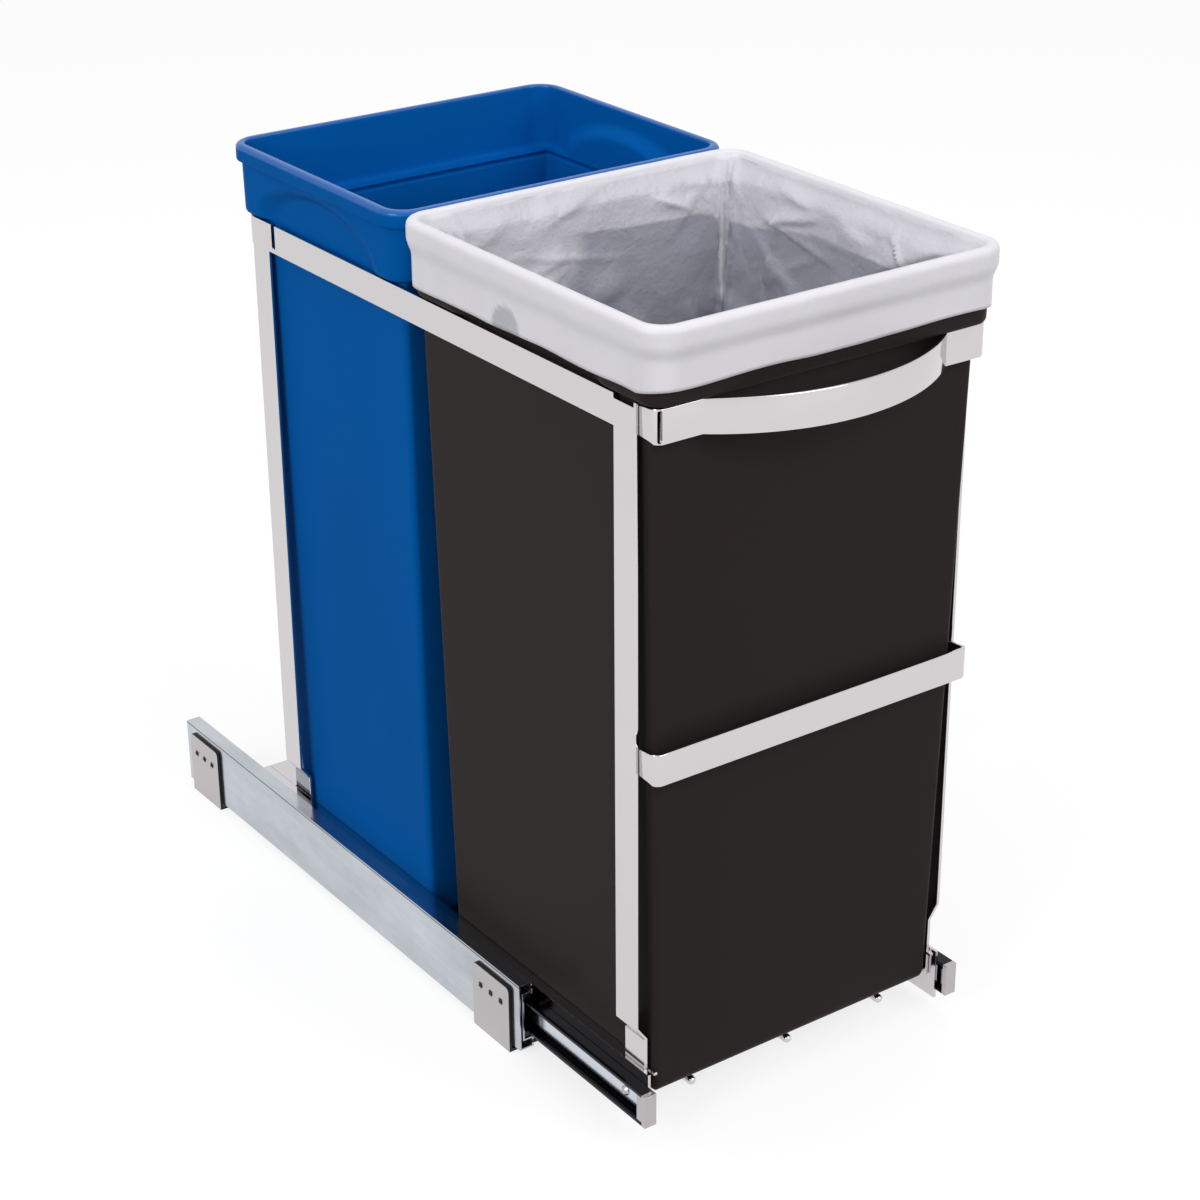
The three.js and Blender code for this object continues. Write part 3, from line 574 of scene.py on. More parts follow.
def grid_mesh(name, points, cap_start=True, flip=False):
    """A mesh over a grid of points [row, column], joined round its columns. A face closes the
    last row and, with cap_start, the first."""
    rows, columns = points.shape[:2]
    row, column = np.meshgrid(np.arange(rows - 1), np.arange(columns), indexing="ij")
    after = (column + 1) % columns
    here, above = row * columns, (row + 1) * columns
    quads = np.stack([here + column, here + after, above + after, above + column], -1)
    faces = quads.reshape(-1, 4).tolist()
    last = [(rows - 1) * columns + i for i in range(columns)]
    if cap_start:
        faces.append(list(range(columns))[::-1])
    faces.append(last)
    if flip:
        faces = [face[::-1] for face in faces]
    mesh = bpy.data.meshes.new(name)
    mesh.from_pydata(points.reshape(-1, 3).tolist(), [], faces)
    mesh.validate()
    return mesh


def outward_faces(mesh):
    """Turns every face of a closed mesh to the outside."""
    work = bmesh.new()
    work.from_mesh(mesh)
    bmesh.ops.recalc_face_normals(work, faces=work.faces)
    work.to_mesh(mesh)
    work.free()
    return mesh


def cut_away(mesh, cutters):
    """Takes closed cutter meshes out of a closed mesh, each by an exact difference."""
    body = new_object("cut body", mesh)
    tools = []
    for cutter in cutters:
        tool = new_object("cutter", cutter)
        tools.append(tool)
        cut = body.modifiers.new("cut", "BOOLEAN")
        cut.operation = "DIFFERENCE"
        cut.solver = "EXACT"
        cut.object = tool
    depsgraph = bpy.context.evaluated_depsgraph_get()
    result = bpy.data.meshes.new_from_object(body.evaluated_get(depsgraph))
    for item in (body, *tools):
        bpy.data.objects.remove(item)
    return result


def slot_cutter(centre, width, height, depth):
    """An upright slot with round ends, its outline carried through along Y."""
    radius = width / 2
    turns = np.linspace(0, math.pi, 9)
    top = np.stack([radius * np.cos(turns), height / 2 - radius + radius * np.sin(turns)], 1)
    outline = np.vstack([top, -top])
    layers = []
    for end in (-depth / 2, depth / 2):
        layer = np.zeros((len(outline), 3))
        layer[:, 0] = outline[:, 0]
        layer[:, 1] = end
        layer[:, 2] = outline[:, 1]
        layers.append(layer + np.asarray(centre))
    return outward_faces(grid_mesh("slot cutter", np.stack(layers)))


def strap_path(node, outward, reach_y, bow):
    """Plan of a strap: a bent end, a quarter bend, the face with or without the bow, and back.
    With it come the bow's rise from 0 to 1 and the ends' trim from 0 to 1 at each point."""
    low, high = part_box(node)
    flank = high.x - strip_thickness / 2
    face_y = reach_y - outward * strip_thickness / 2
    end_y = high.y if outward < 0 else low.y
    turns = np.linspace(0, math.pi / 2, 9)
    bend_x = bend_radius * (1 - np.cos(turns)) - flank
    bend_y = face_y + outward * bend_radius * (np.sin(turns) - 1)
    ends_y = np.linspace(end_y, bend_y[0], 8)[:-1]
    end = np.stack([np.full_like(ends_y, -flank), ends_y], 1)
    start = np.vstack([end, np.stack([bend_x, bend_y], 1)])
    if bow:
        radius = (bow_half_span**2 + bow_reach**2) / (2 * bow_reach)
        half = math.asin(bow_half_span / radius)
        angle = np.linspace(-half, half, 81)
        face_x = radius * np.sin(angle)
        reach = face_y + outward * radius * (np.cos(angle) - math.cos(half))
    else:
        face_x = np.linspace(-flank * plain_span_share, flank * plain_span_share, 24)
        reach = np.full_like(face_x, face_y)
    path = np.vstack([start, np.stack([face_x, reach], 1), start[::-1] * np.array([-1, 1])])
    straight = len(start)
    rise = np.zeros(len(path))
    rise[straight:-straight] = outward * (path[straight:-straight, 1] - face_y) / bow_reach
    trim = np.zeros(len(path))
    fade = np.clip(1 - np.arange(straight) / trim_fade_points, 0, 1) ** trim_fade_power
    trim[:straight] = fade
    trim[-straight:] = fade[::-1]
    return path, rise, trim


def strap(node, outward, face_y, bow, slot_cut):
    """One strap: its swept strip, with a relief slot cut at its left end where it has one."""
    low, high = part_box(node)
    path, rise, trim = strap_path(node, outward, face_y, bow)
    full = bow_strap_height if bow else high.z - low.z
    heights = full + bow_extra_height * rise - end_trim * trim
    middle_z = (low.z + high.z) / 2
    mesh = outward_faces(grid_mesh("strap", swept_strip(path, heights, middle_z)))
    if slot_cut:
        centre = (slot_setback - high.x, face_y, middle_z)
        mesh = cut_away(mesh, [slot_cutter(centre, slot_width, full - slot_margin, slot_depth)])
    return add_piece("plated_" + node, mesh, chrome, bodies[node], [node], 40.0)


front_face_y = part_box("belly_strap")[0].y
back_face_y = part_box("back_strap")[1].y
strap("handle_strap", -1, front_face_y, bow=True, slot_cut=True)
strap("belly_strap", -1, front_face_y, bow=False, slot_cut=False)
strap("back_strap", 1, back_face_y, bow=False, slot_cut=True)

# ---------------------------------------------------------------- bins
# Two injection-moulded polypropylene bins, black in front and blue behind, finely grained outside.
# Each has a drafted body, a step that seats on the frame, a skirt with finger recesses and a lip.
wall = 0.0024
lip_proud = 0.0032
lip_height = 0.010
lip_fillet = 0.0012
lip_fillet_share = 0.6
lip_corner = ((0.0, 0.0010), (0.0003, 0.0003), (0.0010, 0.0))  # (rise, inset) of its lower edge
rim_edge = 0.0028
mouth_edge = 0.0012
skirt_edge = 0.0024
rim_corner = 0.0175
skirt_rise = 0.0419
skirt_draft = 0.0005
side_step = 0.0053
side_draft = 0.0066
end_draft = 0.006
floor_edge = 0.007
body_corner = 0.0035
least_corner = 0.0009
body_top_gap = 0.0012
body_top_flare = 0.0004
ledge_fillet = 0.003
ledge_fillet_reach = 0.0022
ledge_edge = 0.0028
ledge_edge_reach = 0.0018
ledge_edge_end = 0.004
facing_step = 0.004
outer_step = 0.010
arch_half_width = 0.060
arch_height = 0.0255
arch_softness = 0.008
wall_hollow = 0.0007
square_on = 0.99  # a point whose direction along an axis is over this lies on a flat wall


def smooth_step(share):
    """An S curve: 3 t squared less 2 t cubed, with t held between 0 and 1."""
    share = np.clip(share, 0, 1)
    return share * share * (3 - 2 * share)


def rounded_outline(side_steps, end_steps, corner_steps):
    """Unit plan of a rounded rectangle: each point's corner centre, from -1 to 1 both ways, and
    its outward direction. It runs anticlockwise from the right front corner."""
    parts = []
    corners = [(1, -1, -90.0), (1, 1, 0.0), (-1, 1, 90.0), (-1, -1, 180.0)]
    for index, (cx, cy, start) in enumerate(corners):
        angle = np.radians(np.linspace(start, start + 90, corner_steps + 1))
        centres = np.full_like(angle, cx), np.full_like(angle, cy)
        parts.append(np.stack([*centres, np.cos(angle), np.sin(angle)], 1))
        nx, ny, _ = corners[(index + 1) % 4]
        steps = side_steps if index % 2 == 0 else end_steps
        t = np.linspace(0, 1, steps + 1)[1:-1]
        direction = round(math.cos(angle[-1]), 9), round(math.sin(angle[-1]), 9)
        facing = [np.full_like(t, value) for value in direction]
        parts.append(np.stack([cx + (nx - cx) * t, cy + (ny - cy) * t, *facing], 1))
    return np.vstack(parts)


def ring_stack(outline, half_x, y0, y1, radius, z):
    """Rounded rectangles of the given half widths, ends, corner radii and heights, one a row."""
    half_y = (y1 - y0) / 2
    middle = (y0 + y1) / 2
    points = np.empty((len(z), len(outline), 3))
    cx, cy, nx, ny = outline.T
    points[:, :, 0] = (half_x - radius)[:, None] * cx + radius[:, None] * nx
    points[:, :, 1] = middle[:, None] + (half_y - radius)[:, None] * cy + radius[:, None] * ny
    points[:, :, 2] = z[:, None]
    return points


def quarter_arc(start, finish, steps):
    """Angles from start to finish in degrees, as (sine, cosine)."""
    return [(math.sin(a), math.cos(a)) for a in np.radians(np.linspace(start, finish, steps))]


def bin_profile(z0, z_skirt, z_rim):
    """Rows of (height, inset of the skirt and rim, extra inset of the body, 1 on the body, 1 on
    the inside) from the floor outside, up, over the rim and down inside to the floor."""
    rows = []

    def body(z, extra, inner):
        rows.append((z, 0.0, extra, 1.0, inner))

    def upper(z, inset, inner):
        rows.append((z, inset, 0.0, 0.0, inner))

    skirt_inset = lip_proud + skirt_draft
    for sine, cosine in quarter_arc(0, 90, 6):
        body(z0 + floor_edge * (1 - cosine), floor_edge * (1 - sine), 0.0)
    for z in np.linspace(z0 + floor_edge, z_skirt - body_top_gap, 15)[1:]:
        body(z, 0.0, 0.0)
    body(z_skirt, -body_top_flare, 0.0)
    for sine, cosine in quarter_arc(0, 90, 5):
        upper(z_skirt + skirt_edge * (1 - cosine), skirt_inset + skirt_edge * (1 - sine), 0.0)
    lip_z = z_rim - lip_height
    for z in np.linspace(z_skirt + skirt_edge, lip_z - lip_fillet, 22)[1:]:
        share = (z - z_skirt) / (lip_z - z_skirt)
        upper(z, skirt_inset - skirt_draft * share, 0.0)
    for sine, cosine in quarter_arc(0, 90, 4)[1:]:
        inset = lip_proud - lip_fillet * (1 - sine) * lip_fillet_share
        upper(lip_z - lip_fillet * cosine, inset, 0.0)
    for rise, inset in lip_corner:
        upper(lip_z + rise, inset, 0.0)
    for sine, cosine in quarter_arc(0, 90, 8):
        upper(z_rim - rim_edge * (1 - sine), rim_edge * (1 - cosine), 0.0)
    mouth = lip_proud + wall
    for sine, cosine in quarter_arc(0, 90, 5):
        upper(z_rim - mouth_edge * (1 - cosine), mouth - mouth_edge * (1 - sine), 0.0)
    ledge_z = z_skirt + wall
    for z in np.linspace(z_rim - mouth_edge, ledge_z + ledge_fillet, 24)[1:]:
        upper(z, mouth + skirt_draft * (z_rim - z) / skirt_rise, 1.0)
    for sine, cosine in quarter_arc(0, 90, 5)[1:]:
        inset = mouth + skirt_draft + ledge_fillet_reach * (1 - cosine)
        upper(ledge_z + ledge_fillet * (1 - sine), inset, 1.0)
    for sine, cosine in quarter_arc(90, 0, 5):
        body(ledge_z - ledge_edge * (1 - sine), wall - ledge_edge_reach * (1 - sine), 1.0)
    inner_edge = floor_edge - wall
    for z in np.linspace(ledge_z - ledge_edge_end, z0 + wall + inner_edge, 13):
        body(z, wall, 1.0)
    for sine, cosine in quarter_arc(90, 0, 6)[1:]:
        body(z0 + wall + inner_edge * (1 - cosine), wall + inner_edge * (1 - sine), 1.0)
    return np.array(rows)


def bin_shell(node, front_inset, rear_inset):
    """A bin's whole closed surface: profile rows round the rounded outline. The body's walls lean
    in by the draft and bow in a little between the corners, and an ellipse on each side presses
    the skirt in to the body for the fingertips."""
    low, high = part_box(node)
    z_rim, z0 = high.z, low.z
    z_skirt = z_rim - skirt_rise
    z, inset, extra, is_body, inner = bin_profile(z0, z_skirt, z_rim).T
    fall = np.clip((z_skirt - z) / (z_skirt - z0), 0, 1)
    skirt_inset = lip_proud + skirt_draft
    side = np.where(is_body > 0, skirt_inset + side_step + extra + side_draft * fall, inset)
    front = np.where(is_body > 0, skirt_inset + front_inset + extra + end_draft * fall, inset)
    rear = np.where(is_body > 0, skirt_inset + rear_inset + extra + end_draft * fall, inset)
    corner = np.maximum(body_corner - extra, least_corner)
    radius = np.where(is_body > 0, corner, rim_corner - inset)
    outline = rounded_outline(side_steps=110, end_steps=44, corner_steps=8)
    points = ring_stack(outline, high.x - side, low.y + front, high.y - rear, radius, z)
    cx, cy, nx, ny = outline.T
    bowing = wall_hollow * np.sin(math.pi * fall)[:, None] * is_body[:, None]
    points[:, :, 0] -= bowing * nx * (1 - cy**2) * (np.abs(nx) > square_on)
    points[:, :, 1] -= bowing * ny * (1 - cx**2) * (np.abs(ny) > square_on)
    middle_y = (low.y + high.y) / 2
    across = (points[:, :, 1] - middle_y) / (arch_half_width + wall * inner[:, None])
    up = (points[:, :, 2] - z_skirt) / (arch_height + wall * inner[:, None])
    inside = (1 - np.sqrt(across**2 + np.maximum(up, 0) ** 2)) * arch_height
    on_skirt = (np.abs(nx) > square_on) * (is_body < 1)[:, None]
    press = smooth_step(inside / arch_softness + 0.5) * on_skirt
    pressed_x = high.x - skirt_inset - side_step - wall * inner
    gap = np.abs(points[:, :, 0]) - pressed_x[:, None]
    points[:, :, 0] -= np.sign(points[:, :, 0]) * np.maximum(gap, 0) * press
    return outward_faces(grid_mesh(node, points))


def grained_plastic_group():
    """Moulded plastic: fine spark grain, slow mould tone, and light scuffs that shine."""
    group, start, end = new_group(
        "grained_plastic",
        [("Tone", COLOUR, (0.1, 0.1, 0.1, 1)), ("Gloss", FLOAT, 0.4), ("Scuffs", FLOAT, 0.2)],
        [("Colour", COLOUR), ("Roughness", FLOAT), ("Height", FLOAT)],
    )
    given, links, place = start.outputs, group.links, object_space(group)
    grain = noise_field(group, place, scale=1400.0, detail=2.0, roughness=0.6)
    flow = noise_field(group, place, scale=9.0, detail=3.0, roughness=0.5, stretch=(1.0, 1.0, 0.45))
    scuff = noise_field(
        group, place, scale=70.0, detail=6.0, roughness=0.7, stretch=(1.0, 1.0, 0.25)
    )
    scuff_mask = map_range(group, scuff, From_Min=0.62, From_Max=0.78)
    scuffed = math_node(group, "MULTIPLY", scuff_mask, given["Scuffs"])
    gain = math_node(group, "ADD", math_node(group, "MULTIPLY", flow, 0.24), 0.88)
    gain = math_node(group, "ADD", gain, scuffed)
    links.new(scaled_colour(group, given["Tone"], gain), end.inputs["Colour"])
    varied = math_node(group, "MULTIPLY", grain, 0.16)
    rough = math_node(group, "ADD", varied, given["Gloss"])
    rough = math_node(group, "SUBTRACT", rough, scuffed, clamp=True)
    links.new(rough, end.inputs["Roughness"])
    links.new(grain, end.inputs["Height"])
    return group


grained_plastic = grained_plastic_group()
grain_relief = 4e-5
rim_polish_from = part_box("rear_bin")[1].z - 0.003
rim_polish_fade = 0.001
rim_coat = 0.7
rim_coat_roughness = 0.22


def bin_material(name, tone, gloss, specular, scuffs):
    """Grained polypropylene in one colour, with a polished rim."""
    material, tree, shader = new_material(name)
    plastic_field = place_group(
        tree, grained_plastic, {"Tone": (*tone, 1), "Gloss": gloss, "Scuffs": scuffs}
    )
    tree.links.new(plastic_field["Colour"], shader.inputs["Base Color"])
    tree.links.new(plastic_field["Roughness"], shader.inputs["Roughness"])
    add_bump(tree, shader, plastic_field["Height"], grain_relief)
    polish_top = rim_polish_from + rim_polish_fade
    coat = map_range(
        tree, object_height(tree), From_Min=rim_polish_from, From_Max=polish_top, To_Max=rim_coat
    )
    tree.links.new(coat, shader.inputs["Coat Weight"])
    shader.inputs["Coat Roughness"].default_value = rim_coat_roughness
    shader.inputs["Specular IOR Level"].default_value = specular
    return material


bin_black = bin_material(
    "black_polypropylene", (0.0265, 0.0205, 0.0205), gloss=0.36, specular=0.035, scuffs=0.06
)
bin_blue = bin_material(
    "blue_polypropylene", (0.0010, 0.108, 0.41), gloss=0.34, specular=0.008, scuffs=0.06
)

front_low, front_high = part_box("front_bin")
tuck_radius = 0.013
tuck_rise = 0.0069
tuck_shift = 0.014
tuck_floor_z = 0.4424
tuck_inside = 0.0135
tuck_outside = 0.003


def tuck_hole_cutter(side):
    """A round bar with a flat underside across one wall of the skirt, for the hole where spare
    bag is tucked."""
    turns = np.linspace(0, 2 * math.pi, 48, endpoint=False)
    y = (front_low.y + front_high.y) / 2 + tuck_shift + tuck_radius * np.cos(turns)
    z = front_high.z - skirt_rise + tuck_rise + tuck_radius * np.sin(turns)
    z = np.maximum(z, tuck_floor_z)
    layers = [
        np.stack([np.full_like(y, side * x), y, z], 1)
        for x in (front_high.x - tuck_inside, front_high.x + tuck_outside)
    ]
    return outward_faces(grid_mesh("tuck hole cutter", np.stack(layers)))


front_mesh = cut_away(
    bin_shell("front_bin", outer_step, facing_step), [tuck_hole_cutter(-1), tuck_hole_cutter(1)]
)
add_piece("moulded_front_bin", front_mesh, bin_black, "front_bin", ["front_bin"])
rear_mesh = bin_shell("rear_bin", facing_step, outer_step)
add_piece("moulded_rear_bin", rear_mesh, bin_blue, "rear_bin", ["rear_bin"])

# ---------------------------------------------------------------- bag
# A thin white polyethylene bag. It hangs inside the front bin, is folded out over the rim and
# pulled down over the skirt, and it shows grey where a single layer hangs against the black wall.
film_lift = 0.0008
film_thickness = 0.0003
# Outside: the hem, which rises at the front, and the drape from the hem up to the lip.
hem_z = 0.4432
hem_front_lift = 0.0036
hem_wave = 0.0006
lip_overhang = 0.001
drape_inset = 0.0026
drape_from = 0.62
outer_wave = 0.00022
ripple_drift = 0.4
# Inside: the turn into the mouth, the gather below it, the foot, and slack that grows with depth.
throat_edge = 0.0022
throat_clearance = 0.0015
gather_depth = 0.011
gather_corner = 0.011
bag_foot_rise = 0.022
fine_depth = 0.05
middle_depth = 0.17
slack_wave = 0.0012
slack_depth = 0.018
slack_drift = 0.12
deep_wave = 0.0018
deep_depth = 0.25
deep_drift = -0.2
# Creases: a third gather at the corners, and the rest lean freely. Pairs are least and most.
crease_seed = 7
crease_count = 150
corner_spread = 0.03
corner_lean = 0.35
free_lean = (0.5, 6.0)
crease_middle = (0.0, 0.12)
crease_reach = (0.012, 0.06)
crease_width = (0.0010, 0.0029)
crease_height = (0.0013, 0.0045)
crease_start = 0.004
fold_tail = 6
most_push = 0.0095
# One long fold hangs down by the right rear corner.
tail_shift = 0.004
tail_width = 0.006
tail_height = 0.0032
tail_start = 0.006
tail_end = 0.12
tail_fade = 0.06
# Cover: the doubled band under the rim, the doubled patch round the left rear corner with its
# ragged edge of (size, rate, phase) waves, painted shade just under the rim, and the tuck holes.
band_depth = 0.0275
band_wave = 0.0035
band_edge = 0.0009
band_tail = 0.05
band_cover = 0.68
patch_half_width = 0.108
patch_edge = 0.012
patch_cover = 0.62
patch_wave = 0.12
patch_depth = 0.20
patch_fade = 0.02
ragged_waves = ((0.006, 70, 0), (0.004, 180, 1))
rim_painted_shade = 0.76
rim_painted_shade_depth = 0.016
hole_cover = 0.72
hole_edge = 0.0012
random = np.random.default_rng(crease_seed)


def ring_noise(distance, length, waves, seed):
    """A smooth field round a closed ring of the given length: a sum of whole sine waves."""
    source = np.random.default_rng(seed)
    field = np.zeros_like(distance)
    total = 0.0
    for k in waves:
        weight = 1.0 / math.sqrt(k)
        phase = source.uniform(0, 2 * math.pi)
        field += weight * np.sin(2 * math.pi * k * distance / length + phase)
        total += weight**2
    return field / math.sqrt(total)


def bag_profile(z_rim, foot_z):
    """Rows of (height, inset, 1 where it hangs inside, depth below the rim, share of the outer
    wave) from the hem outside, up over the rim and down inside to the foot."""
    rows = []
    film_lip = z_rim - lip_height + lip_overhang
    for t in np.linspace(0, 1, 13):
        drape = drape_inset * (1 - smooth_step((t - drape_from) / (1 - drape_from)))
        rows.append((hem_z + (film_lip - hem_z) * t, drape - film_lift, 0, 0, 1.0))
    for z in np.linspace(film_lip, z_rim - rim_edge, 5)[1:-1]:
        rows.append((z, -film_lift, 0, 0, 1.0))
    reach = rim_edge + film_lift
    for sine, cosine in quarter_arc(0, 90, 6):
        rows.append((z_rim - rim_edge + reach * sine, rim_edge - reach * cosine, 0, 0, 0.8))
    throat = lip_proud + wall + film_lift
    top = z_rim - throat_edge
    for sine, cosine in quarter_arc(90, 0, 5)[1:]:
        z = top + (throat_edge + film_lift) * sine
        rows.append((z, throat - throat_edge * (1 - cosine), 0, 0, 0.4))
    bands = ((0, fine_depth, 29), (fine_depth, middle_depth, 34), (middle_depth, top - foot_z, 14))
    for begin, finish, count in bands:
        for d in np.linspace(begin, finish, count)[1:]:
            rows.append((top - d, throat, 1, d, 0.0))
    return np.array(rows)


def bag_surface():
    """The bag: profile rows, each a rounded rectangle, pushed in by slack and creases. Creases are
    straight ridges, folds or steps drawn at random over distance round the rim and depth below
    it. Cover is 1 outside and falls where a single layer hangs: the doubled band ends at
    fold_depth, a patch is doubled too, and the tuck holes show through. Inside, cover also
    carries painted shade just under the rim."""
    low, high = front_low, front_high
    z_rim = high.z
    z_skirt = z_rim - skirt_rise
    z, inset, hanging, d, outside = bag_profile(z_rim, low.z + bag_foot_rise).T
    fall = np.clip((z_skirt - z) / (z_skirt - low.z), 0, 1)
    gather = hanging * smooth_step(d / gather_depth)
    close = lip_proud + skirt_draft + wall + film_lift + throat_clearance
    side = inset + (close + side_step + side_draft * fall - inset) * gather
    front = inset + (close + outer_step + end_draft * fall - inset) * gather
    rear = inset + (close + facing_step + end_draft * fall - inset) * gather
    radius = rim_corner - inset
    radius = radius + (gather_corner - radius) * gather
    outline = rounded_outline(side_steps=104, end_steps=100, corner_steps=12)
    points = ring_stack(outline, high.x - side, low.y + front, high.y - rear, radius, z)
    rim_ends = [np.array([v]) for v in (high.x, low.y, high.y, rim_corner, z_rim)]
    rim = ring_stack(outline, *rim_ends)[0]
    gaps = np.linalg.norm(np.roll(rim, -1, 0) - rim, axis=1)
    length = gaps.sum()
    distance = np.concatenate([[0], np.cumsum(gaps)[:-1]])[None, :]
    depth, hangs = d[:, None], hanging[:, None]
    rear_right = distance[0, np.argmax(rim[:, 0] + rim[:, 1])]
    rear_left = distance[0, np.argmax(rim[:, 1] - rim[:, 0])]
    corners = [rear_right, rear_left, distance[0, np.argmin(rim[:, 0] + rim[:, 1])]]

    def past(place):
        return (distance - place + length / 2) % length - length / 2

    slack = hangs * np.clip(depth / slack_depth, 0, 1)
    deep = np.clip(depth / deep_depth, 0, 1)
    wave = ring_noise(distance + slack_drift * depth, length, range(3, 15), 3)
    push = slack_wave * slack * (1 + wave)
    wave = ring_noise(distance + deep_drift * depth, length, range(5, 24), 5)
    push = push + deep_wave * deep * (1 + wave)
    for index in range(crease_count):
        kind = index % 3
        if kind == 0:
            place = random.choice(corners) + random.normal(0, corner_spread)
            lean = random.normal(0, corner_lean)
        else:
            place = random.uniform(0, length)
            lean = random.choice([-1, 1]) * random.uniform(*free_lean)
        middle = random.uniform(*crease_middle)
        reach = random.uniform(*crease_reach)
        width = random.uniform(*crease_width)
        tall = random.uniform(*crease_height)
        slope = math.hypot(1, lean)
        across = (past(place) - lean * (depth - middle)) / slope
        along = (lean * past(place) + depth - middle) / slope
        fade = np.clip(1 - (along / reach) ** 2, 0, 1) * np.clip(depth / crease_start, 0, 1)
        if kind == 2:
            ridge = 0.5 + 0.5 * np.tanh(across / width)
            ridge = ridge * np.exp(-((across / (fold_tail * width)) ** 2))
        else:
            ridge = np.exp(-np.abs(across) / width)
        push = push + tall * fade * hangs * ridge
    tail = np.exp(-((past(rear_right + tail_shift) / tail_width) ** 2))
    tail_reach = np.clip(depth / tail_start, 0, 1) * np.clip((tail_end - depth) / tail_fade, 0, 1)
    push = np.minimum(push + tail_height * tail * hangs * tail_reach, most_push)
    drifted = distance + ripple_drift * (z[:, None] - z_rim)
    ripple = ring_noise(drifted, length, range(6, 34), 11)
    shift = outside[:, None] * outer_wave * (1 + ripple) - push
    cx, cy, nx, ny = outline.T
    points[:, :, 0] += shift * nx
    points[:, :, 1] += shift * ny
    lip_z = z_rim - lip_height
    skirt_share = np.clip((lip_z - z) / (lip_z - hem_z), 0, 1) * outside
    hem_lift = hem_wave * ring_noise(distance, length, range(2, 14), 17)
    hem_lift = hem_lift + hem_front_lift * np.clip(-ny, 0, 1)
    points[:, :, 2] += skirt_share[:, None] * hem_lift

    fold_depth = band_depth + band_wave * ring_noise(distance, length, range(2, 11), 23)
    band = 1 - np.clip((depth - fold_depth - band_tail * tail) / band_edge, 0, 1)
    ragged = sum(size * np.sin(rate * depth + phase) for size, rate, phase in ragged_waves)
    patch = np.clip((patch_half_width - np.abs(past(rear_left) + ragged)) / patch_edge, 0, 1)
    wave = ring_noise(distance - depth, length, range(9, 40), 31)
    patch = patch * (patch_cover + patch_wave * wave)
    patch = patch * np.clip((patch_depth - depth) / patch_fade, 0, 1)
    # Painted shade: the hanging film is painted darker just under the rim, fading out with depth.
    rim_shading = rim_painted_shade + (1 - rim_painted_shade) * np.clip(depth / rim_painted_shade_depth, 0, 1)
    inside_cover_and_shade = np.maximum(band_cover * band, patch) * rim_shading
    from_hole_y = points[:, :, 1] - (low.y + high.y) / 2 - tuck_shift
    from_hole_z = points[:, :, 2] - z_skirt - tuck_rise
    hole = np.clip((tuck_radius - np.hypot(from_hole_y, from_hole_z)) / hole_edge, 0, 1)
    hole = hole * (np.abs(nx) > square_on)
    return points, np.where(hangs > 0, inside_cover_and_shade, 1.0 - hole_cover * hole)


single_layer_tone = (0.385, 0.39, 0.45)
doubled_tone = (0.795, 0.78, 0.825)
crinkle_gain = 1.4
film_relief = 0.002
film_relief_strength = 0.8
film_roughness = 0.38
film_specular = 0.4


def film_material():
    """White film, greyer where cover is low, which is also where it crinkles: soft folds from
    noise and small sharp ridges along the edges of bent cells."""
    material, tree, shader = new_material("white_film")
    nodes, links, place = tree.nodes, tree.links, object_space(tree)
    # The cover attribute holds the film's layers and the painted shade under the rim.
    cover_and_shade = nodes.new("ShaderNodeAttribute")
    cover_and_shade.attribute_name = "cover_and_shade"
    mix = nodes.new("ShaderNodeMix")
    mix.data_type = "RGBA"
    mix.inputs["A"].default_value = (*single_layer_tone, 1)
    mix.inputs["B"].default_value = (*doubled_tone, 1)
    links.new(cover_and_shade.outputs["Fac"], mix.inputs["Factor"])
    cloud = noise_field(tree, place, scale=22.0, detail=5.0, roughness=0.6)
    gain = math_node(tree, "ADD", math_node(tree, "MULTIPLY", cloud, 0.16), 0.92)
    links.new(scaled_colour(tree, mix.outputs["Result"], gain), shader.inputs["Base Color"])
    single = map_range(tree, cover_and_shade.outputs["Fac"], From_Min=0.7, To_Min=0.85, To_Max=0.14)
    fine = noise_field(tree, place, scale=75.0, detail=5.0, roughness=0.62)
    crinkle = math_node(tree, "ABSOLUTE", math_node(tree, "SUBTRACT", fine, 0.5), 0.0)
    crinkle = math_node(tree, "MULTIPLY", crinkle, single)
    shift = nodes.new("ShaderNodeTexNoise")
    shift.inputs["Scale"].default_value = 30.0
    links.new(place, shift.inputs["Vector"])
    bend = nodes.new("ShaderNodeVectorMath")
    bend.operation = "MULTIPLY_ADD"
    links.new(shift.outputs["Color"], bend.inputs[0])
    bend.inputs[1].default_value = (0.02, 0.02, 0.02)
    links.new(place, bend.inputs[2])
    cells = nodes.new("ShaderNodeTexVoronoi")
    cells.feature = "DISTANCE_TO_EDGE"
    cells.inputs["Scale"].default_value = 38.0
    links.new(bend.outputs[0], cells.inputs["Vector"])
    ridge = math_node(tree, "MULTIPLY", cells.outputs["Distance"], single)
    crinkle = math_node(tree, "MULTIPLY", crinkle, crinkle_gain)
    height = math_node(tree, "SUBTRACT", crinkle, ridge)
    add_bump(tree, shader, height, film_relief, film_relief_strength)
    shader.inputs["Roughness"].default_value = film_roughness
    shader.inputs["Specular IOR Level"].default_value = film_specular
    return material


bag_points, bag_cover_and_shade = bag_surface()
bag_mesh = grid_mesh("bag", bag_points, cap_start=False, flip=True)
cover_values = bag_mesh.attributes.new("cover_and_shade", "FLOAT", "POINT")
cover_values.data.foreach_set("value", bag_cover_and_shade.reshape(-1).astype(np.float32))
bag = add_piece("bag", bag_mesh, film_material(), "front_bin", ["bin_liner"], 180.0)
film_wall = bag.modifiers.new("film", "SOLIDIFY")
film_wall.thickness = film_thickness
film_wall.offset = 0.0

# ---------------------------------------------------------------- studio
# A plain pale floor that keeps a soft shadow, a white surround, and three large soft lamps. The
# floor and surround are white to the camera and to metal, and give only part of the light.
floor_half = 8.0
floor_tone = 0.3
floor_whitening = 0.76
world_fill = 0.55


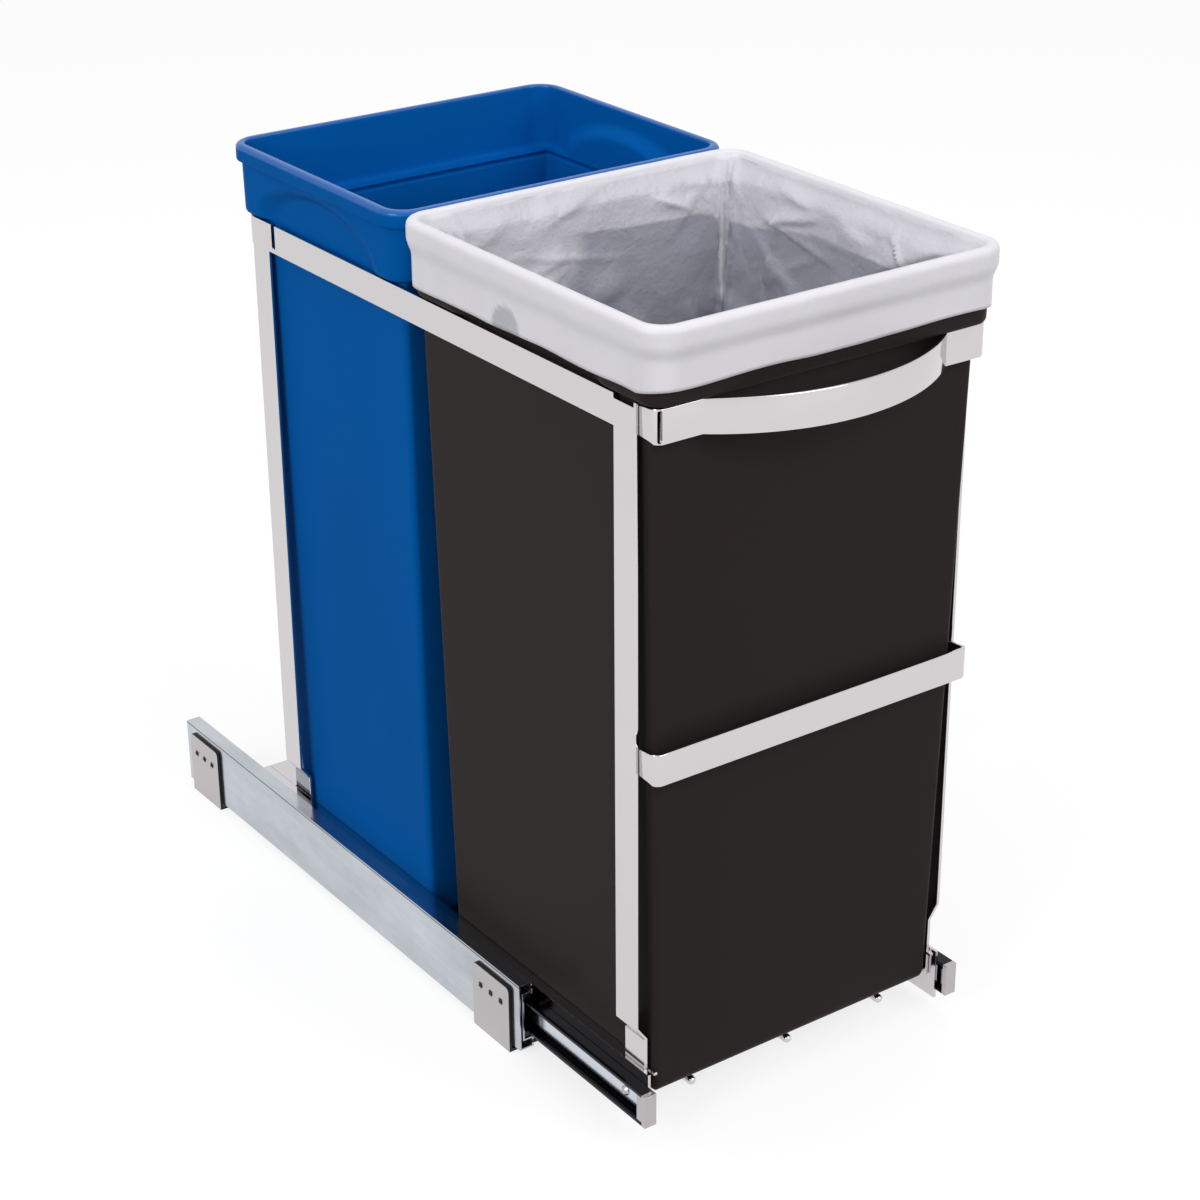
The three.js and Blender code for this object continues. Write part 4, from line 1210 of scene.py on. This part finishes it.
def seen_directly(tree):
    """1 for what the camera or a reflection sees, and 0 for what lights the object."""
    ray = tree.nodes.new("ShaderNodeLightPath").outputs
    return math_node(tree, "ADD", ray["Is Camera Ray"], ray["Is Glossy Ray"], clamp=True)


floor_corners = [(-1, -1), (1, -1), (1, 1), (-1, 1)]
floor_mesh = bpy.data.meshes.new("studio_floor")
floor_mesh.from_pydata(
    [(floor_half * x, floor_half * y, 0) for x, y in floor_corners], [], [(0, 1, 2, 3)]
)
floor = new_object("studio_floor", floor_mesh)
floor_material, floor_tree, floor_shader = new_material("studio_floor")
floor_shader.inputs["Base Color"].default_value = (floor_tone, floor_tone, floor_tone, 1)
floor_shader.inputs["Roughness"].default_value = 1.0
floor_shader.inputs["Specular IOR Level"].default_value = 0.0
floor_shader.inputs["Emission Color"].default_value = (1, 1, 1, 1)
floor_glow = math_node(floor_tree, "MULTIPLY", seen_directly(floor_tree), floor_whitening)
floor_tree.links.new(floor_glow, floor_shader.inputs["Emission Strength"])
floor_mesh.materials.append(floor_material)

world = bpy.data.worlds.new("studio")
bpy.context.scene.world = world
world.use_nodes = True
world_tree = world.node_tree
background = world_tree.nodes["Background"]
background.inputs["Color"].default_value = (1, 1, 1, 1)
world_level = math_node(world_tree, "MULTIPLY", seen_directly(world_tree), 1 - world_fill)
world_level = math_node(world_tree, "ADD", world_level, world_fill)
world_tree.links.new(world_level, background.inputs["Strength"])


def soft_lamp(name, place, aim_height, size, power):
    """A square area lamp aimed at a height over the origin."""
    data = bpy.data.lights.new(name, "AREA")
    data.size = size
    data.energy = power
    lamp = new_object(name, data)
    lamp.location = place
    aim = Vector((0, 0, aim_height)) - Vector(place)
    lamp.rotation_euler = aim.to_track_quat("-Z", "Y").to_euler()


soft_lamp("front_lamp", (0.6, -2.6, 1.9), aim_height=0.25, size=1.6, power=32.0)
soft_lamp("left_lamp", (-2.6, -0.6, 1.6), aim_height=0.25, size=1.4, power=30.0)
soft_lamp("top_lamp", (0.2, 0.4, 2.8), aim_height=0.2, size=1.8, power=12.0)
bpy.context.scene.view_settings.view_transform = "Standard"
